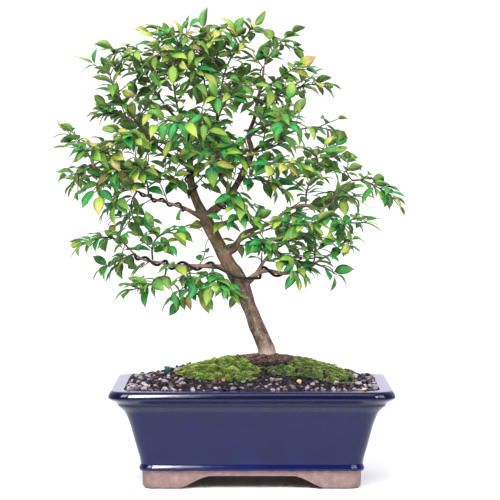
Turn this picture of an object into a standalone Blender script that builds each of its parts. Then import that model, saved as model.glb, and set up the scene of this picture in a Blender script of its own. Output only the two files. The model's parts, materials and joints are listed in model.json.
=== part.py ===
"""Jaboticaba bonsai in a glazed rectangular pot.

Metres, +Z up, standing on z = 0, with the origin under the middle of the whole tree's box.
Tables and sizes are in millimetres from the pot's centre; x runs to the right of the front view,
y runs away from the viewer.
"""

import math
import random

import bpy
from mathutils import Vector, noise
from mathutils.bvhtree import BVHTree

MM = 0.001
POT_CENTRE = Vector((0.0164, -0.0042, 0.0))

# Touching pieces keep this gap
GAP = 0.3

# Pot
RIM_LENGTH = 205.0
RIM_DEPTH = 150.0
RIM_CORNER = 15.0
CORNER_SHRINK = 0.25
CORNER_STEPS = 3
FLOOR_TOP = 16.0
FLOOR_UNDERSIDE = 10.5
# Inset from the rim's outermost line, height
POT_OUTSIDE = (
    (26.0, 0.0), (24.0, 2.4), (23.6, 11.5), (21.9, 13.6), (21.4, 15.6), (22.4, 18.0), (21.3, 24.0),
    (18.2, 35.0), (15.0, 47.0), (11.7, 55.4), (7.2, 60.6), (2.4, 64.8), (0.3, 67.2), (0.0, 69.4),
    (0.9, 71.4), (2.6, 72.0),
)
POT_INSIDE = (
    (9.8, 72.0), (11.4, 70.6), (16.0, 57.0), (23.5, 36.0), (30.0, FLOOR_TOP),
)
SKIRT_THICKNESS = 8.0
# Where the skirt's cut starts at a foot and where it is full height, from the pot's centre
FRONT_CUT = (56.4, 29.0)
SIDE_CUT = (31.0, 12.0)
CUT_HEIGHT = 9.6
CUT_STEPS = 5
ARCH_FLARE = 0.5
CUTTER_OVERRUN = 2.0
DRAIN_RADIUS = 6.5
DRAIN_X = 45.0
DRAIN_SIDES = 12
SCREEN_SIDE = 22.0
SCREEN_THICKNESS = 1.0
SCREEN_HOLE = 2.6
SCREEN_HOLES_ACROSS = 2
SCREEN_HOLE_SIDES = 4

# Soil and moss
BED_GAP = 0.36
STUB_GAP = 0.45
EDGE_DROP = 0.6
SOIL_SIDE_STEPS = (5, 3)
TRUNK_FOOT = (11.5, 0.0)
STUB_RADIUS = 7.2
STUB_BOTTOM = 62.0
MOUND_EDGE = 72.4
MOUND_RISE = 20.6
MOUND_POWER = 1.6
CORNER_POWER = 2.6
RELIEF_DEPTH = 1.8
RELIEF_SIZE = 6.0
SOIL_RINGS = (0.92, 0.82, 0.71, 0.59, 0.46, 0.34, 0.22)
# Centre x, centre y, half length, half depth, height
MOSS = {
    "moss_front_left": (-21.0, -29.0, 31.0, 20.0, 4.5),
    "moss_front_right": (43.0, -25.0, 29.0, 20.0, 4.0),
    "moss_behind": (-9.0, 13.0, 10.0, 7.0, 3.0),
}
MOSS_RINGS = 4
MOSS_SECTORS = 14
MOSS_LUMP = 0.6
MOSS_LUMP_SIZE = 6.0
# Shares of a patch's half size between which the soil's pits come back
MOSS_FADE = (1.2, 1.5)

# Tree: rows of x, y, z, radius
BRANCHES = {
    "trunk": (
        (11.5, 0, STUB_BOTTOM, 7.0), (11.5, 0, 78, STUB_RADIUS), (11.5, 0, 89, STUB_RADIUS),
        (11.2, 0, 94.5, 6.8), (8.5, 0, 102, 6.1), (-0.5, 0, 124.5, 5.6), (-5.7, 0, 139.5, 5.7),
        (-8.5, 0, 146, 6.4), (-12.3, 0, 152.5, 6.1), (-15.8, 0, 157.5, 5.6), (-21.1, 0, 167.3, 5.2),
        (-25.3, 0, 175.5, 5.0), (-29.6, 0, 184, 5.0), (-34.2, 0, 193.5, 4.7),
    ),
    "left_leader": (
        (-32.5, 0, 190, 4.2), (-39.6, 1, 203, 3.6), (-43.3, 2, 213, 3.2), (-45.1, 4, 224, 2.9),
        (-45.5, 6, 235, 2.5), (-45.7, 7, 246, 2.1), (-46.5, 7, 254, 1.9), (-51, 6, 262, 1.6),
        (-58, 5, 269, 1.3), (-64, 4, 276, 1.0),
    ),
    "right_leader": (
        (-33.5, 0, 192, 4.0), (-28.5, -2, 198.2, 3.6), (-22.6, -4, 203, 3.2), (-16.7, -5, 208.6, 2.8),
        (-9.4, -6, 220.6, 2.5), (-4.6, -6, 231.4, 2.4), (-1.2, -6, 238, 2.7), (-0.5, -5, 245, 2.2),
        (-2.4, -4, 253.5, 1.8), (2.4, -2, 267.5, 1.6), (4.2, -1, 279, 1.4), (7.6, 0, 294, 1.1),
        (9, 0, 305, 0.9),
    ),
    "middle_stem": (
        (-14, -5, 212, 2.0), (-22.2, 2, 221.8, 1.8), (-24.8, 5, 232, 1.7), (-25.2, 7, 246, 1.5),
        (-25.9, 8, 261, 1.4), (-24.8, 8, 275.6, 1.2), (-22.6, 7, 288, 1.0),
    ),
    "low_right": (
        (-8, 0, 144.5, 3.4), (-2, -1, 147.3, 2.9), (4.4, -2, 152.5, 2.1), (11.3, -3, 154.5, 1.7),
        (23.1, -4, 152.7, 1.5), (34.9, -4, 154, 1.3), (42.5, -4, 157, 1.2), (50.7, -5, 163, 1.0),
        (60.7, -5, 168, 0.9), (68.5, -6, 171.4, 0.8), (76.4, -6, 172.8, 0.6),
    ),
    "low_right_fork": (
        (3.2, -2, 151.8, 1.6), (8.3, -5, 160.6, 1.4), (13.2, -7, 166.5, 1.2), (19.4, -8, 171.7, 1.0),
    ),
    "middle_right": (
        (-20.5, 0, 166.5, 2.6), (-13, -2, 170, 2.5), (-10, -3, 176, 2.2), (-6.4, -4, 181.3, 2.0),
        (1.4, -5, 185, 1.8), (11.3, -6, 188.7, 1.7), (17.9, -6, 192.3, 1.6), (23.1, -6, 196.8, 1.5),
        (29, -6, 200.4, 1.4), (38.9, -6, 202.7, 1.4), (45.9, -5, 200, 1.2), (53.7, -5, 201.2, 1.1),
        (58, -4, 204.5, 1.0), (60.7, -4, 208.8, 1.0), (65.5, -3, 215.9, 0.9), (73.2, -3, 220.6, 0.7),
    ),
    "middle_left": (
        (-33.5, 0, 191.5, 2.4), (-45.5, -2, 198.4, 1.7), (-51.8, -3, 201.2, 1.5), (-61.4, -4, 204.4, 1.2),
        (-71, -5, 206.8, 1.1), (-77.4, -5, 210, 1.0), (-87.5, -5, 214.4, 0.8),
    ),
    "low_left": (
        (-16.5, 0, 155, 2.8), (-23.5, -1, 157, 2.2), (-29.4, -2, 157.5, 1.9), (-41.4, -3, 158.1, 1.7),
        (-53.6, -4, 158.1, 1.6), (-61.4, -4, 158.9, 1.4), (-67, -5, 160.6, 1.2), (-77.4, -5, 162.1, 1.1),
        (-83.8, -6, 165.3, 1.0), (-89.3, -6, 170.2, 0.8),
    ),
    "high_left": (
        (-45.4, 4, 230, 2.0), (-52.8, 2, 235.1, 1.8), (-60.2, 0, 238.8, 1.7), (-67.6, -2, 243.9, 1.6),
        (-73.5, -3, 249.1, 1.5), (-77.4, -3, 255, 1.3), (-83, -4, 262, 1.1), (-90, -5, 271, 0.9),
    ),
    "far_left": (
        (-42, 2, 209, 2.0), (-50, 8, 214, 1.8), (-61.7, 13, 222.5, 1.6), (-75, 14, 229, 1.4),
        (-90, 12, 233.5, 1.2), (-104, 10, 235, 1.0), (-118, 8, 236, 0.8),
    ),
    "back_low": (
        (-19, 0, 163, 2.4), (-15, 12, 170, 1.9), (-8, 27, 176, 1.6), (1, 40, 179.5, 1.3), (10, 52, 182, 0.9),
    ),
    "back_left": (
        (-45.3, 6, 236, 2.0), (-52, 18, 242, 1.7), (-62, 31, 247, 1.4), (-74, 43, 250, 1.1),
        (-85, 54, 252, 0.8),
    ),
    "back_right": (
        (-1, -6, 240, 1.9), (8, 8, 247, 1.6), (18, 23, 252, 1.4), (29, 37, 256, 1.1), (40, 50, 259, 0.8),
    ),
    "back_middle": (
        (-24.8, 5, 230, 1.6), (-25, 20, 236, 1.5), (-26, 36, 240, 1.2), (-28, 50, 243, 0.9),
    ),
    "front_left": (
        (-45.7, 7, 244, 1.8), (-46, -6, 252, 1.5), (-48, -22, 258, 1.2), (-52, -37, 261, 0.8),
    ),
    "front_right": (
        (-2.4, -4, 252, 1.6), (4, -16, 258, 1.4), (12, -29, 261, 1.1), (20, -42, 263, 0.8),
    ),
}
BRANCH_SIDES = {"trunk": 10, "left_leader": 8, "right_leader": 8}
OTHER_BRANCH_SIDES = 5
BRANCH_STEPS = 1

# Leafy stems: rows of x, y, z from the branch's middle line to the tip
SPRAYS = {
    "top_left": ((-64, 4, 276), (-71, 9, 286), (-77, 15, 297), (-82, 20, 309)),
    "top_left_inner": ((-51, 6, 262), (-55, -3, 277), (-57, -12, 293), (-55, -19, 311), (-50, -23, 328)),
    "top_far_left": ((-90, -5, 271), (-96, -11, 281), (-101, -17, 291), (-104, -21, 302)),
    "high_left_tip": ((-83, -4, 262), (-91, -4, 266), (-100, -1, 270), (-110, 3, 271)),
    "high_left_back": ((-77, -3, 255), (-85, 10, 262), (-92, 23, 267), (-100, 35, 269)),
    "high_left_front": ((-67.6, -2, 244), (-75, -15, 248), (-83, -28, 252), (-92, -40, 253)),
    "far_left_tip": ((-118, 8, 236), (-123, 3, 243), (-127, -1, 250), (-131, -4, 256)),
    "far_left_low": ((-110, 9, 235.5), (-118, 14, 231), (-125, 17, 226), (-131, 19, 219)),
    "far_left_droop": ((-90, 12, 233.5), (-99, 0, 230), (-108, -7, 223), (-115, -12, 214)),
    "far_left_front": ((-98, 11, 234.5), (-105, -5, 240), (-112, -20, 243), (-120, -34, 242)),
    "far_left_back": ((-75, 14, 229), (-84, 27, 228), (-94, 38, 225), (-105, 47, 221)),
    "middle_left_tip": ((-87.5, -5, 214.4), (-94, -6, 213), (-100, -8, 208), (-105, -9, 201)),
    "middle_left_up": ((-75.5, -5, 209), (-76, -12, 218), (-80, -22, 226), (-86, -32, 231)),
    "middle_left_low": ((-84, -5, 213), (-88, 3, 206), (-89, 11, 198), (-87, 18, 190)),
    "low_left_tip": ((-89.3, -6, 170.2), (-95, -7, 176), (-104, -8, 179), (-113, -9, 179), (-120, -10, 175)),
    "low_left_up": ((-72.5, -5, 161), (-73, -8, 171), (-69, -11, 179), (-60, -12, 184), (-49, -13, 186)),
    "low_left_out": ((-86, -6, 167), (-93, 2, 164), (-98, 9, 160), (-103, 14, 154)),
    "low_left_droop": ((-63, -4.5, 159.5), (-63, -6, 152), (-71, -8, 146), (-79, -9, 143), (-87, -10, 141)),
    "low_left_inner": ((-47.5, -3.7, 158), (-45, -7, 152), (-46, -9, 146), (-46, -10, 139)),
    "low_left_root": ((-29.4, -2, 157.5), (-27, -7, 152), (-23, -12, 147), (-18, -15, 142)),
    "low_right_inner": ((-4, -4, 180.5), (1, -10, 177), (9, -13, 175), (18, -14, 175)),
    "low_right_fork": ((19.4, -8, 171.7), (27, -2, 176), (36, 5, 179), (46, 11, 180)),
    "low_right_droop": ((16, -7.5, 169), (23, -14, 167), (30, -18, 162), (35, -20, 155)),
    "low_right_tip": ((60.7, -5, 168), (63, -11, 172), (67, -16, 176), (73, -20, 178)),
    "low_right_under": ((42.5, -4, 157), (45, -10, 161), (46, -17, 166), (44, -25, 171)),
    "middle_right_front": ((23.1, -6, 196.8), (28, -16, 195), (35, -26, 192), (43, -36, 189)),
    "middle_right_low": ((45.9, -5, 200), (53, -10, 196), (62, -12, 192), (72, -13, 190), (81, -14, 190)),
    "middle_right_tip": ((73.2, -3, 220.6), (80, -4, 221), (88, -6, 218), (95, -8, 214), (102, -10, 210)),
    "middle_right_up": ((39.5, -6, 202.5), (40, -3, 212), (44, 2, 222), (51, 7, 232), (60, 11, 240)),
    "middle_right_back": ((53.7, -5, 201.2), (58, 8, 206), (64, 20, 209), (71, 31, 209)),
    "right_side_twig": ((-0.8, -5.5, 241), (9, -9, 243), (19, -12, 247), (25, -13, 257), (31, -14, 270)),
    "right_front": ((-4.6, -6, 231.4), (5, -15, 233), (15, -25, 234), (26, -35, 234), (36, -43, 232)),
    "right_droop": ((-9.4, -6, 220.6), (0, -14, 222), (10, -20, 221), (20, -23, 216)),
    "centre_droop": ((-13, -5.5, 214), (-10, -13, 212), (-7, -20, 208), (-4, -26, 201)),
    "centre_low": ((-32, 0, 189), (-22, -9, 190), (-12, -13, 192), (-1, -15, 193), (9, -16, 191)),
    "crown_right_tip": ((9, 0, 305), (13, 4, 312), (18, 9, 319), (24, 14, 325)),
    "crown_right": ((5.5, -0.5, 284), (14, -9, 291), (24, -17, 298), (34, -24, 304)),
    "crown_right_low": ((4, -1, 277), (15, 8, 282), (28, 16, 287), (41, 22, 291), (52, 26, 292)),
    "crown_top": ((-22.6, 7, 288), (-20, 2, 299), (-15, -2, 311), (-7, -4, 323), (2, -5, 334)),
    "crown_top_left": ((-25.5, 8, 268), (-32, 10, 282), (-36, 13, 299), (-38, 16, 316), (-36, 18, 333)),
    "crown_front": ((-25.9, 8, 261), (-24, -7, 268), (-20, -21, 276), (-14, -33, 285), (-7, -41, 292)),
    "crown_back": ((-24.8, 8, 275.6), (-20, 20, 284), (-15, 32, 292), (-11, 43, 299)),
    "front_left_tip": ((-52, -37, 261), (-57, -48, 264), (-62, -59, 264), (-67, -70, 261)),
    "front_right_tip": ((20, -42, 263), (26, -52, 264), (32, -62, 263), (38, -71, 260)),
    "back_left_tip": ((-85, 54, 252), (-91, 58, 253), (-98, 62, 252), (-105, 63, 249)),
    "back_right_tip": ((40, 50, 259), (47, 54, 260), (54, 58, 259), (62, 61, 256)),
    "back_middle_tip": ((-28, 50, 243), (-30, 55, 246), (-33, 60, 247), (-38, 64, 246)),
    "back_low_tip": ((10, 52, 182), (16, 55, 184), (24, 57, 185), (32, 58, 183)),
}
SPRAY_ROOT_RADIUS = 0.8
SPRAY_TIP_RADIUS = 0.5
SPRAY_SIDES = 3
SPRAY_FINE_STEPS = 40
SHOOT_RADIUS = 0.55
SHOOT_TIP_RADIUS = 0.45
SHOOT_LENGTH = 17.0
SHOOT_SHARE = 0.45
SHOOT_CLEARANCE = 0.5
LEAF_LENGTH = 16.5
LEAF_LENGTH_SPREAD = 0.2
LEAF_WIDTH_RATIO = 0.5
LEAF_THICKNESS = 0.8
LEAF_FIRST = 8.0
LEAF_SPACING = 16.0
LEAF_TRIES = 16
LEAF_SHRINK = 0.98
LEAF_CLEARANCE = 0.45
LEAF_ROOT_SHARE = 0.16
LEAF_SEAT = 0.1
LEAF_SEED = 13
# Round a blade's edge from its root: shares of the length and half width, rise, and share of the sag
BLADE_EDGE = (
    (0.36, -1.0, 0.05, 0.0), (0.74, -0.68, 0.0, 0.25), (1.0, 0.0, 0.0, 1.0), (0.74, 0.68, 0.0, 0.25),
    (0.36, 1.0, 0.05, 0.0),
)
BLADE_THICKEST = 0.48
BLADE_SAG = 0.10

# How leaves and shoots turn, as shares of a unit step in each direction
CANOPY_MIDDLE_X = -30
LEAF_FORWARD = (0.35, 0.8)
LEAF_DROOP = (0.05, 0.65)
LEAF_OUTWARD = (0.0, 0.35)
TIP_LEAF_TURN = 0.4
FACE_UPWARD = (0.35, 1.0)
FACE_OUTWARD = (0.2, 0.9)
FACE_WOBBLE = (-0.35, 0.35)
SHOOT_FORWARD = (0.5, 0.9)
SHOOT_RISE = (-0.4, 0.6)
SHOOT_SAG = (-0.12, 0.06)
SHOOT_REACH = (0.75, 1.15)
FIRST_LEAF_SPREAD = (0.7, 1.2)
PAIR_SPREAD = (0.8, 1.15)
FIRST_TURN = (-0.6, 0.6)
PAIR_TURN = 0.9
BARE_END = 2.0
TIP_SEAT = 1.0

# Training wire
WIRE_SIDES = 5
WIRE_POINTS_PER_TURN = 8
WIRE_FINE_STEPS = 8
THICK_WIRE = 1.0
THIN_WIRE = 0.75
WIRE_GAP = 0.4

MATERIALS = {
    "glazed_clay": ((0.025, 0.03, 0.10, 1.0), 0.12, 0.0),
    "grit": ((0.05, 0.045, 0.04, 1.0), 0.9, 0.0),
    "moss": ((0.16, 0.32, 0.03, 1.0), 0.95, 0.0),
    "bark": ((0.20, 0.15, 0.12, 1.0), 0.8, 0.0),
    "black_wire": ((0.012, 0.012, 0.013, 1.0), 0.4, 0.9),
    "leaf": ((0.06, 0.22, 0.03, 1.0), 0.45, 0.0),
    "screen_plastic": ((0.02, 0.02, 0.02, 1.0), 0.6, 0.0),
}


def clear_scene():
    for item in list(bpy.data.objects):
        bpy.data.objects.remove(item, do_unlink=True)


def material(name):
    found = bpy.data.materials.get(name)
    if found:
        return found
    colour, roughness, metallic = MATERIALS[name]
    made = bpy.data.materials.new(name)
    made.use_nodes = True
    shader = made.node_tree.nodes["Principled BSDF"]
    shader.inputs["Base Color"].default_value = colour
    shader.inputs["Roughness"].default_value = roughness
    shader.inputs["Metallic"].default_value = metallic
    made.diffuse_color = colour
    return made


def add_object(name, shape, material_name=None):
    """Makes an object from (points, faces) given in millimetres from the pot's centre."""
    points, faces = shape
    mesh = bpy.data.meshes.new(name)
    mesh.from_pydata([Vector(point) * MM for point in points], [], faces)
    mesh.validate()
    item = bpy.data.objects.new(name, mesh)
    item.location = POT_CENTRE
    bpy.context.scene.collection.objects.link(item)
    if material_name:
        mesh.materials.append(material(material_name))
    return item


def apply_modifiers(item):
    bpy.context.view_layer.update()
    evaluated = item.evaluated_get(bpy.context.evaluated_depsgraph_get())
    mesh = bpy.data.meshes.new_from_object(evaluated)
    item.modifiers.clear()
    item.data = mesh


def cut(item, cutter):
    step = item.modifiers.new("cut", "BOOLEAN")
    step.operation = "DIFFERENCE"
    step.object = cutter
    apply_modifiers(item)
    bpy.data.objects.remove(cutter, do_unlink=True)


def fuse(item, shapes):
    """Joins the closed shapes to the item by one union."""
    group = bpy.data.collections.new("to_fuse")
    bpy.context.scene.collection.children.link(group)
    for shape in shapes:
        piece = add_object("piece", shape)
        bpy.context.scene.collection.objects.unlink(piece)
        group.objects.link(piece)
    step = item.modifiers.new("fuse", "BOOLEAN")
    step.operation = "UNION"
    step.operand_type = "COLLECTION"
    step.collection = group
    apply_modifiers(item)
    for piece in list(group.objects):
        bpy.data.objects.remove(piece, do_unlink=True)
    bpy.data.collections.remove(group)


def rounded_rectangle(half_x, half_y, radius, side_steps=(1, 1)):
    """Counter-clockwise outline whose corners are arcs and whose sides have the given steps."""
    corners = ((1, 1, 0), (-1, 1, 90), (-1, -1, 180), (1, -1, 270))
    outline = []
    for index, (sign_x, sign_y, start) in enumerate(corners):
        centre = Vector((sign_x * (half_x - radius), sign_y * (half_y - radius)))
        for step in range(CORNER_STEPS + 1):
            angle = math.radians(start + 90 * step / CORNER_STEPS)
            outline.append(centre + radius * Vector((math.cos(angle), math.sin(angle))))
        following = corners[(index + 1) % 4]
        next_centre = Vector((following[0] * (half_x - radius), following[1] * (half_y - radius)))
        angle = math.radians(following[2])
        side_end = next_centre + radius * Vector((math.cos(angle), math.sin(angle)))
        steps = side_steps[index % 2]
        outline += [outline[-1].lerp(side_end, step / steps) for step in range(1, steps)]
    return outline


def pot_ring(inset, height, side_steps=(1, 1)):
    outline = rounded_rectangle(
        RIM_LENGTH / 2 - inset, RIM_DEPTH / 2 - inset, RIM_CORNER - CORNER_SHRINK * inset, side_steps
    )
    return [(point.x, point.y, height) for point in outline]


def loft(rings):
    """Closed solid through rings of equal count, with a flat cap at each end."""
    count = len(rings[0])
    points = [point for ring in rings for point in ring]
    faces = [tuple(reversed(range(count)))]
    for low in range(0, (len(rings) - 1) * count, count):
        for index in range(count):
            after = (index + 1) % count
            faces.append((low + index, low + after, low + count + after, low + count + index))
    faces.append(tuple(range(len(points) - count, len(points))))
    return points, faces


def skirt_cutter(cut_start, cut_full, along_x):
    """A smooth arch outline, pushed through the whole pot, that leaves the feet standing."""
    outline = [(cut_start + ARCH_FLARE, -CUTTER_OVERRUN)]
    for step in range(CUT_STEPS + 1):
        t = step / CUT_STEPS
        smooth = t * t * (3 - 2 * t)
        outline.append((cut_start + (cut_full - cut_start) * t, CUT_HEIGHT * smooth))
    outline += [(-across, height) for across, height in reversed(outline)]
    reach = RIM_LENGTH
    if along_x:
        rings = [[(side * reach, across, height) for across, height in outline] for side in (-1, 1)]
    else:
        rings = [[(across, -side * reach, height) for across, height in outline] for side in (-1, 1)]
    return loft(rings)


def cylinder(x, y, bottom, top, radius, sides):
    rings = []
    for height in (bottom, top):
        angles = [math.tau * step / sides for step in range(sides)]
        rings.append([(x + radius * math.cos(a), y + radius * math.sin(a), height) for a in angles])
    return loft(rings)


def build_pot():
    pot = add_object("pot", loft([pot_ring(*row) for row in POT_OUTSIDE + POT_INSIDE]), "glazed_clay")
    recess_inset = POT_OUTSIDE[1][0] + SKIRT_THICKNESS
    recess = [pot_ring(recess_inset, height) for height in (-CUTTER_OVERRUN, FLOOR_UNDERSIDE)]
    cut(pot, add_object("recess", loft(recess)))
    cut(pot, add_object("front_arch", skirt_cutter(*FRONT_CUT, along_x=False)))
    cut(pot, add_object("side_arch", skirt_cutter(*SIDE_CUT, along_x=True)))
    for x in (-DRAIN_X, DRAIN_X):
        bottom = FLOOR_UNDERSIDE - CUTTER_OVERRUN
        drain = cylinder(x, 0.0, bottom, FLOOR_TOP + CUTTER_OVERRUN, DRAIN_RADIUS, DRAIN_SIDES)
        cut(pot, add_object("drain", drain))


def build_screens():
    half = SCREEN_SIDE / 2
    low = FLOOR_TOP + GAP
    high = low + SCREEN_THICKNESS
    pitch = SCREEN_SIDE / (SCREEN_HOLES_ACROSS + 1)
    for name, x in (("drain_screen_left", -DRAIN_X), ("drain_screen_right", DRAIN_X)):
        corners = ((x - half, -half), (x + half, -half), (x + half, half), (x - half, half))
        screen = add_object(name, loft([[(*corner, z) for corner in corners] for z in (low, high)]),
                            "screen_plastic")
        for column in range(SCREEN_HOLES_ACROSS):
            for row in range(SCREEN_HOLES_ACROSS):
                hole_x = x - half + pitch * (column + 1)
                hole_y = -half + pitch * (row + 1)
                hole = cylinder(hole_x, hole_y, low - CUTTER_OVERRUN, high + CUTTER_OVERRUN,
                                SCREEN_HOLE / 2, SCREEN_HOLE_SIDES)
                cut(screen, add_object("hole", hole))


def mound(x, y):
    """Height of the smooth soil surface."""
    reach_x = RIM_LENGTH / 2 - POT_INSIDE[1][0]
    reach_y = RIM_DEPTH / 2 - POT_INSIDE[1][0]
    across = abs(x - TRUNK_FOOT[0] * (1 - abs(x) / reach_x)) / reach_x
    away = (across ** CORNER_POWER + abs(y / reach_y) ** CORNER_POWER) ** (1 / CORNER_POWER)
    return MOUND_EDGE + MOUND_RISE * (1 - min(1.0, away) ** MOUND_POWER)


def moss_cover(x, y):
    """1 under a moss patch, falling to 0 a little outside it."""
    cover = 0.0
    for centre_x, centre_y, half_x, half_y, _ in MOSS.values():
        away = math.hypot((x - centre_x) / half_x, (y - centre_y) / half_y)
        cover = max(cover, min(1.0, max(0.0, (MOSS_FADE[1] - away) / (MOSS_FADE[1] - MOSS_FADE[0]))))
    return cover


def soil_height(x, y):
    """The mound with pits between its stones, and smooth where moss lies on it."""
    pits = 0.5 - 0.5 * noise.noise(Vector((x / RELIEF_SIZE, y / RELIEF_SIZE, 0.0)))
    return mound(x, y) - RELIEF_DEPTH * pits * (1 - moss_cover(x, y))


def build_soil():
    walls = [pot_ring(inset + BED_GAP, height, SOIL_SIDE_STEPS) for inset, height in reversed(POT_INSIDE[1:])]
    walls[0] = [(x, y, FLOOR_TOP + GAP) for x, y, _ in walls[0]]
    rings = walls[:]
    edge = walls[-1]
    rings.append([(x, y, MOUND_EDGE - EDGE_DROP) for x, y, _ in edge])
    foot_x, foot_y = TRUNK_FOOT
    for share in SOIL_RINGS:
        ring = []
        for x, y, _ in edge:
            ring_x = foot_x + (x - foot_x) * share
            ring_y = foot_y + (y - foot_y) * share
            ring.append((ring_x, ring_y, soil_height(ring_x, ring_y)))
        rings.append(ring)
    hole_radius = STUB_RADIUS + STUB_GAP
    for height in (None, STUB_BOTTOM - GAP):
        ring = []
        for x, y, _ in edge:
            direction = Vector((x - foot_x, y - foot_y)).normalized()
            ring_x = foot_x + direction.x * hole_radius
            ring_y = foot_y + direction.y * hole_radius
            ring.append((ring_x, ring_y, mound(ring_x, ring_y) if height is None else height))
        rings.append(ring)
    soil = add_object("soil", loft(rings), "grit")
    half = SCREEN_SIDE / 2 + GAP
    for x in (-DRAIN_X, DRAIN_X):
        corners = ((x - half, -half), (x + half, -half), (x + half, half), (x - half, half))
        top = FLOOR_TOP + SCREEN_THICKNESS + 2 * GAP
        cut(soil, add_object("bed", loft([[(*corner, z) for corner in corners] for z in (FLOOR_TOP, top)])))


def build_moss():
    """Each patch is a lumpy cushion whose underside follows the mound."""
    for name, (centre_x, centre_y, half_x, half_y, height) in MOSS.items():
        top = []
        bottom = []
        for ring in range(1, MOSS_RINGS + 1):
            share = ring / MOSS_RINGS
            for sector in range(MOSS_SECTORS):
                angle = math.tau * sector / MOSS_SECTORS
                wobble = 1 + 0.10 * math.sin(3 * angle + centre_x) + 0.06 * math.sin(5 * angle)
                x = centre_x + half_x * share * wobble * math.cos(angle)
                y = centre_y + half_y * share * wobble * math.sin(angle)
                low = mound(x, y) + BED_GAP
                lump = 0.7 + MOSS_LUMP * noise.noise(Vector((x / MOSS_LUMP_SIZE, y / MOSS_LUMP_SIZE, 3.0)))
                bottom.append((x, y, low))
                top.append((x, y, low + height * lump * (1 - share ** 3)))
        low = mound(centre_x, centre_y) + BED_GAP
        add_object(name, cushion(top, bottom, (centre_x, centre_y, low), height), "moss")


def cushion(top, bottom, centre, height):
    """Closes the two fans of rings; the outermost ring is shared."""
    inner = (MOSS_RINGS - 1) * MOSS_SECTORS
    points = top + bottom[:inner] + [(centre[0], centre[1], centre[2] + height), centre]
    top_centre = len(points) - 2
    faces = []
    for offset, is_top in ((0, True), (len(top), False)):
        for ring in range(MOSS_RINGS - 1):
            for sector in range(MOSS_SECTORS):
                after = (sector + 1) % MOSS_SECTORS
                inside = offset + ring * MOSS_SECTORS
                outside = (0 if ring == MOSS_RINGS - 2 else offset) + (ring + 1) * MOSS_SECTORS
                face = (inside + sector, outside + sector, outside + after, inside + after)
                faces.append(face if is_top else tuple(reversed(face)))
        for sector in range(MOSS_SECTORS):
            after = (sector + 1) % MOSS_SECTORS
            middle = top_centre if is_top else top_centre + 1
            face = (middle, offset + sector, offset + after)
            faces.append(face if is_top else tuple(reversed(face)))
    return points, faces


def smooth_path(rows, steps):
    """Points and radii along a smooth curve through the rows of x, y, z, radius."""
    rows = [Vector(row) for row in rows]
    ends = [rows[0] * 2 - rows[1]] + rows + [rows[-1] * 2 - rows[-2]]
    path = []
    for before, start, end, after in zip(ends, ends[1:], ends[2:], ends[3:]):
        for step in range(steps):
            t = step / steps
            path.append(0.5 * (
                2 * start + (end - before) * t + (2 * before - 5 * start + 4 * end - after) * t * t
                + (3 * start - 3 * end + after - before) * t ** 3
            ))
    path.append(rows[-1])
    return [row.to_3d() for row in path], [row.w for row in path]


def directions(points):
    """Unit tangent and two steady cross directions at each point."""
    frames = []
    across = None
    for index in range(len(points)):
        before = points[max(index - 1, 0)]
        after = points[min(index + 1, len(points) - 1)]
        along = (after - before).normalized()
        guide = across if across else along.orthogonal()
        across = (guide - along * guide.dot(along)).normalized()
        frames.append((along, across, along.cross(across)))
    return frames


def tube(points, radii, sides):
    """Closed round tube along the points."""
    rings = []
    for point, radius, (_, across, up) in zip(points, radii, directions(points)):
        ring = []
        for side in range(sides):
            angle = math.tau * side / sides
            ring.append(point + radius * (math.cos(angle) * across + math.sin(angle) * up))
        rings.append(ring)
    return loft(rings)


def tree_of(shape):
    points, faces = shape
    return BVHTree.FromPolygons([Vector(point) for point in points], faces)


class Space:
    """Remembers every placed shape, and tells whether a new one would touch them."""

    def __init__(self):
        self.kept = []

    @staticmethod
    def box(shape):
        points = shape[0]
        low = Vector(min(point[axis] for point in points) for axis in range(3))
        high = Vector(max(point[axis] for point in points) for axis in range(3))
        return low, high

    def add(self, shape, owner=None):
        self.kept.append((*self.box(shape), tree_of(shape), owner))

    def is_free(self, shape, owner=None):
        low, high = self.box(shape)
        tree = None
        for kept_low, kept_high, kept_tree, kept_owner in self.kept:
            if owner is not None and owner == kept_owner:
                continue
            if any(low[axis] > kept_high[axis] or high[axis] < kept_low[axis] for axis in range(3)):
                continue
            tree = tree or tree_of(shape)
            if tree.overlap(kept_tree):
                return False
        return True


def build_tree(space):
    """Trunk, leaders and branches, grown as one piece."""
    shapes = {}
    for name, rows in BRANCHES.items():
        points, radii = smooth_path(rows, BRANCH_STEPS)
        shapes[name] = tube(points, radii, BRANCH_SIDES.get(name, OTHER_BRANCH_SIDES))
        space.add(shapes[name])
    bark = add_object("trunk", shapes.pop("trunk"), "bark")
    fuse(bark, shapes.values())
    bark_points = [vertex.co / MM for vertex in bark.data.vertices]
    bark_faces = [tuple(face.vertices) for face in bark.data.polygons]
    return BVHTree.FromPolygons(bark_points, bark_faces)


def wound(branch, start, end, turns, first_angle, wire):
    """Points of a wire wound round a branch between two shares of its length."""
    points, radii = smooth_path(BRANCHES[branch], WIRE_FINE_STEPS)
    frames = directions(points)
    count = round(abs(turns) * WIRE_POINTS_PER_TURN)
    route = []
    for step in range(count + 1):
        t = step / count
        place = (start + (end - start) * t) * (len(points) - 1)
        low = min(int(place), len(points) - 2)
        part = place - low
        centre = points[low].lerp(points[low + 1], part)
        along, across, up = frames[low]
        around = (radii[low] + wire + WIRE_GAP) / math.cos(math.pi / WIRE_POINTS_PER_TURN)
        angle = first_angle + math.tau * turns * t
        route.append(centre + around * (math.cos(angle) * across + math.sin(angle) * up))
    return route


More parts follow.
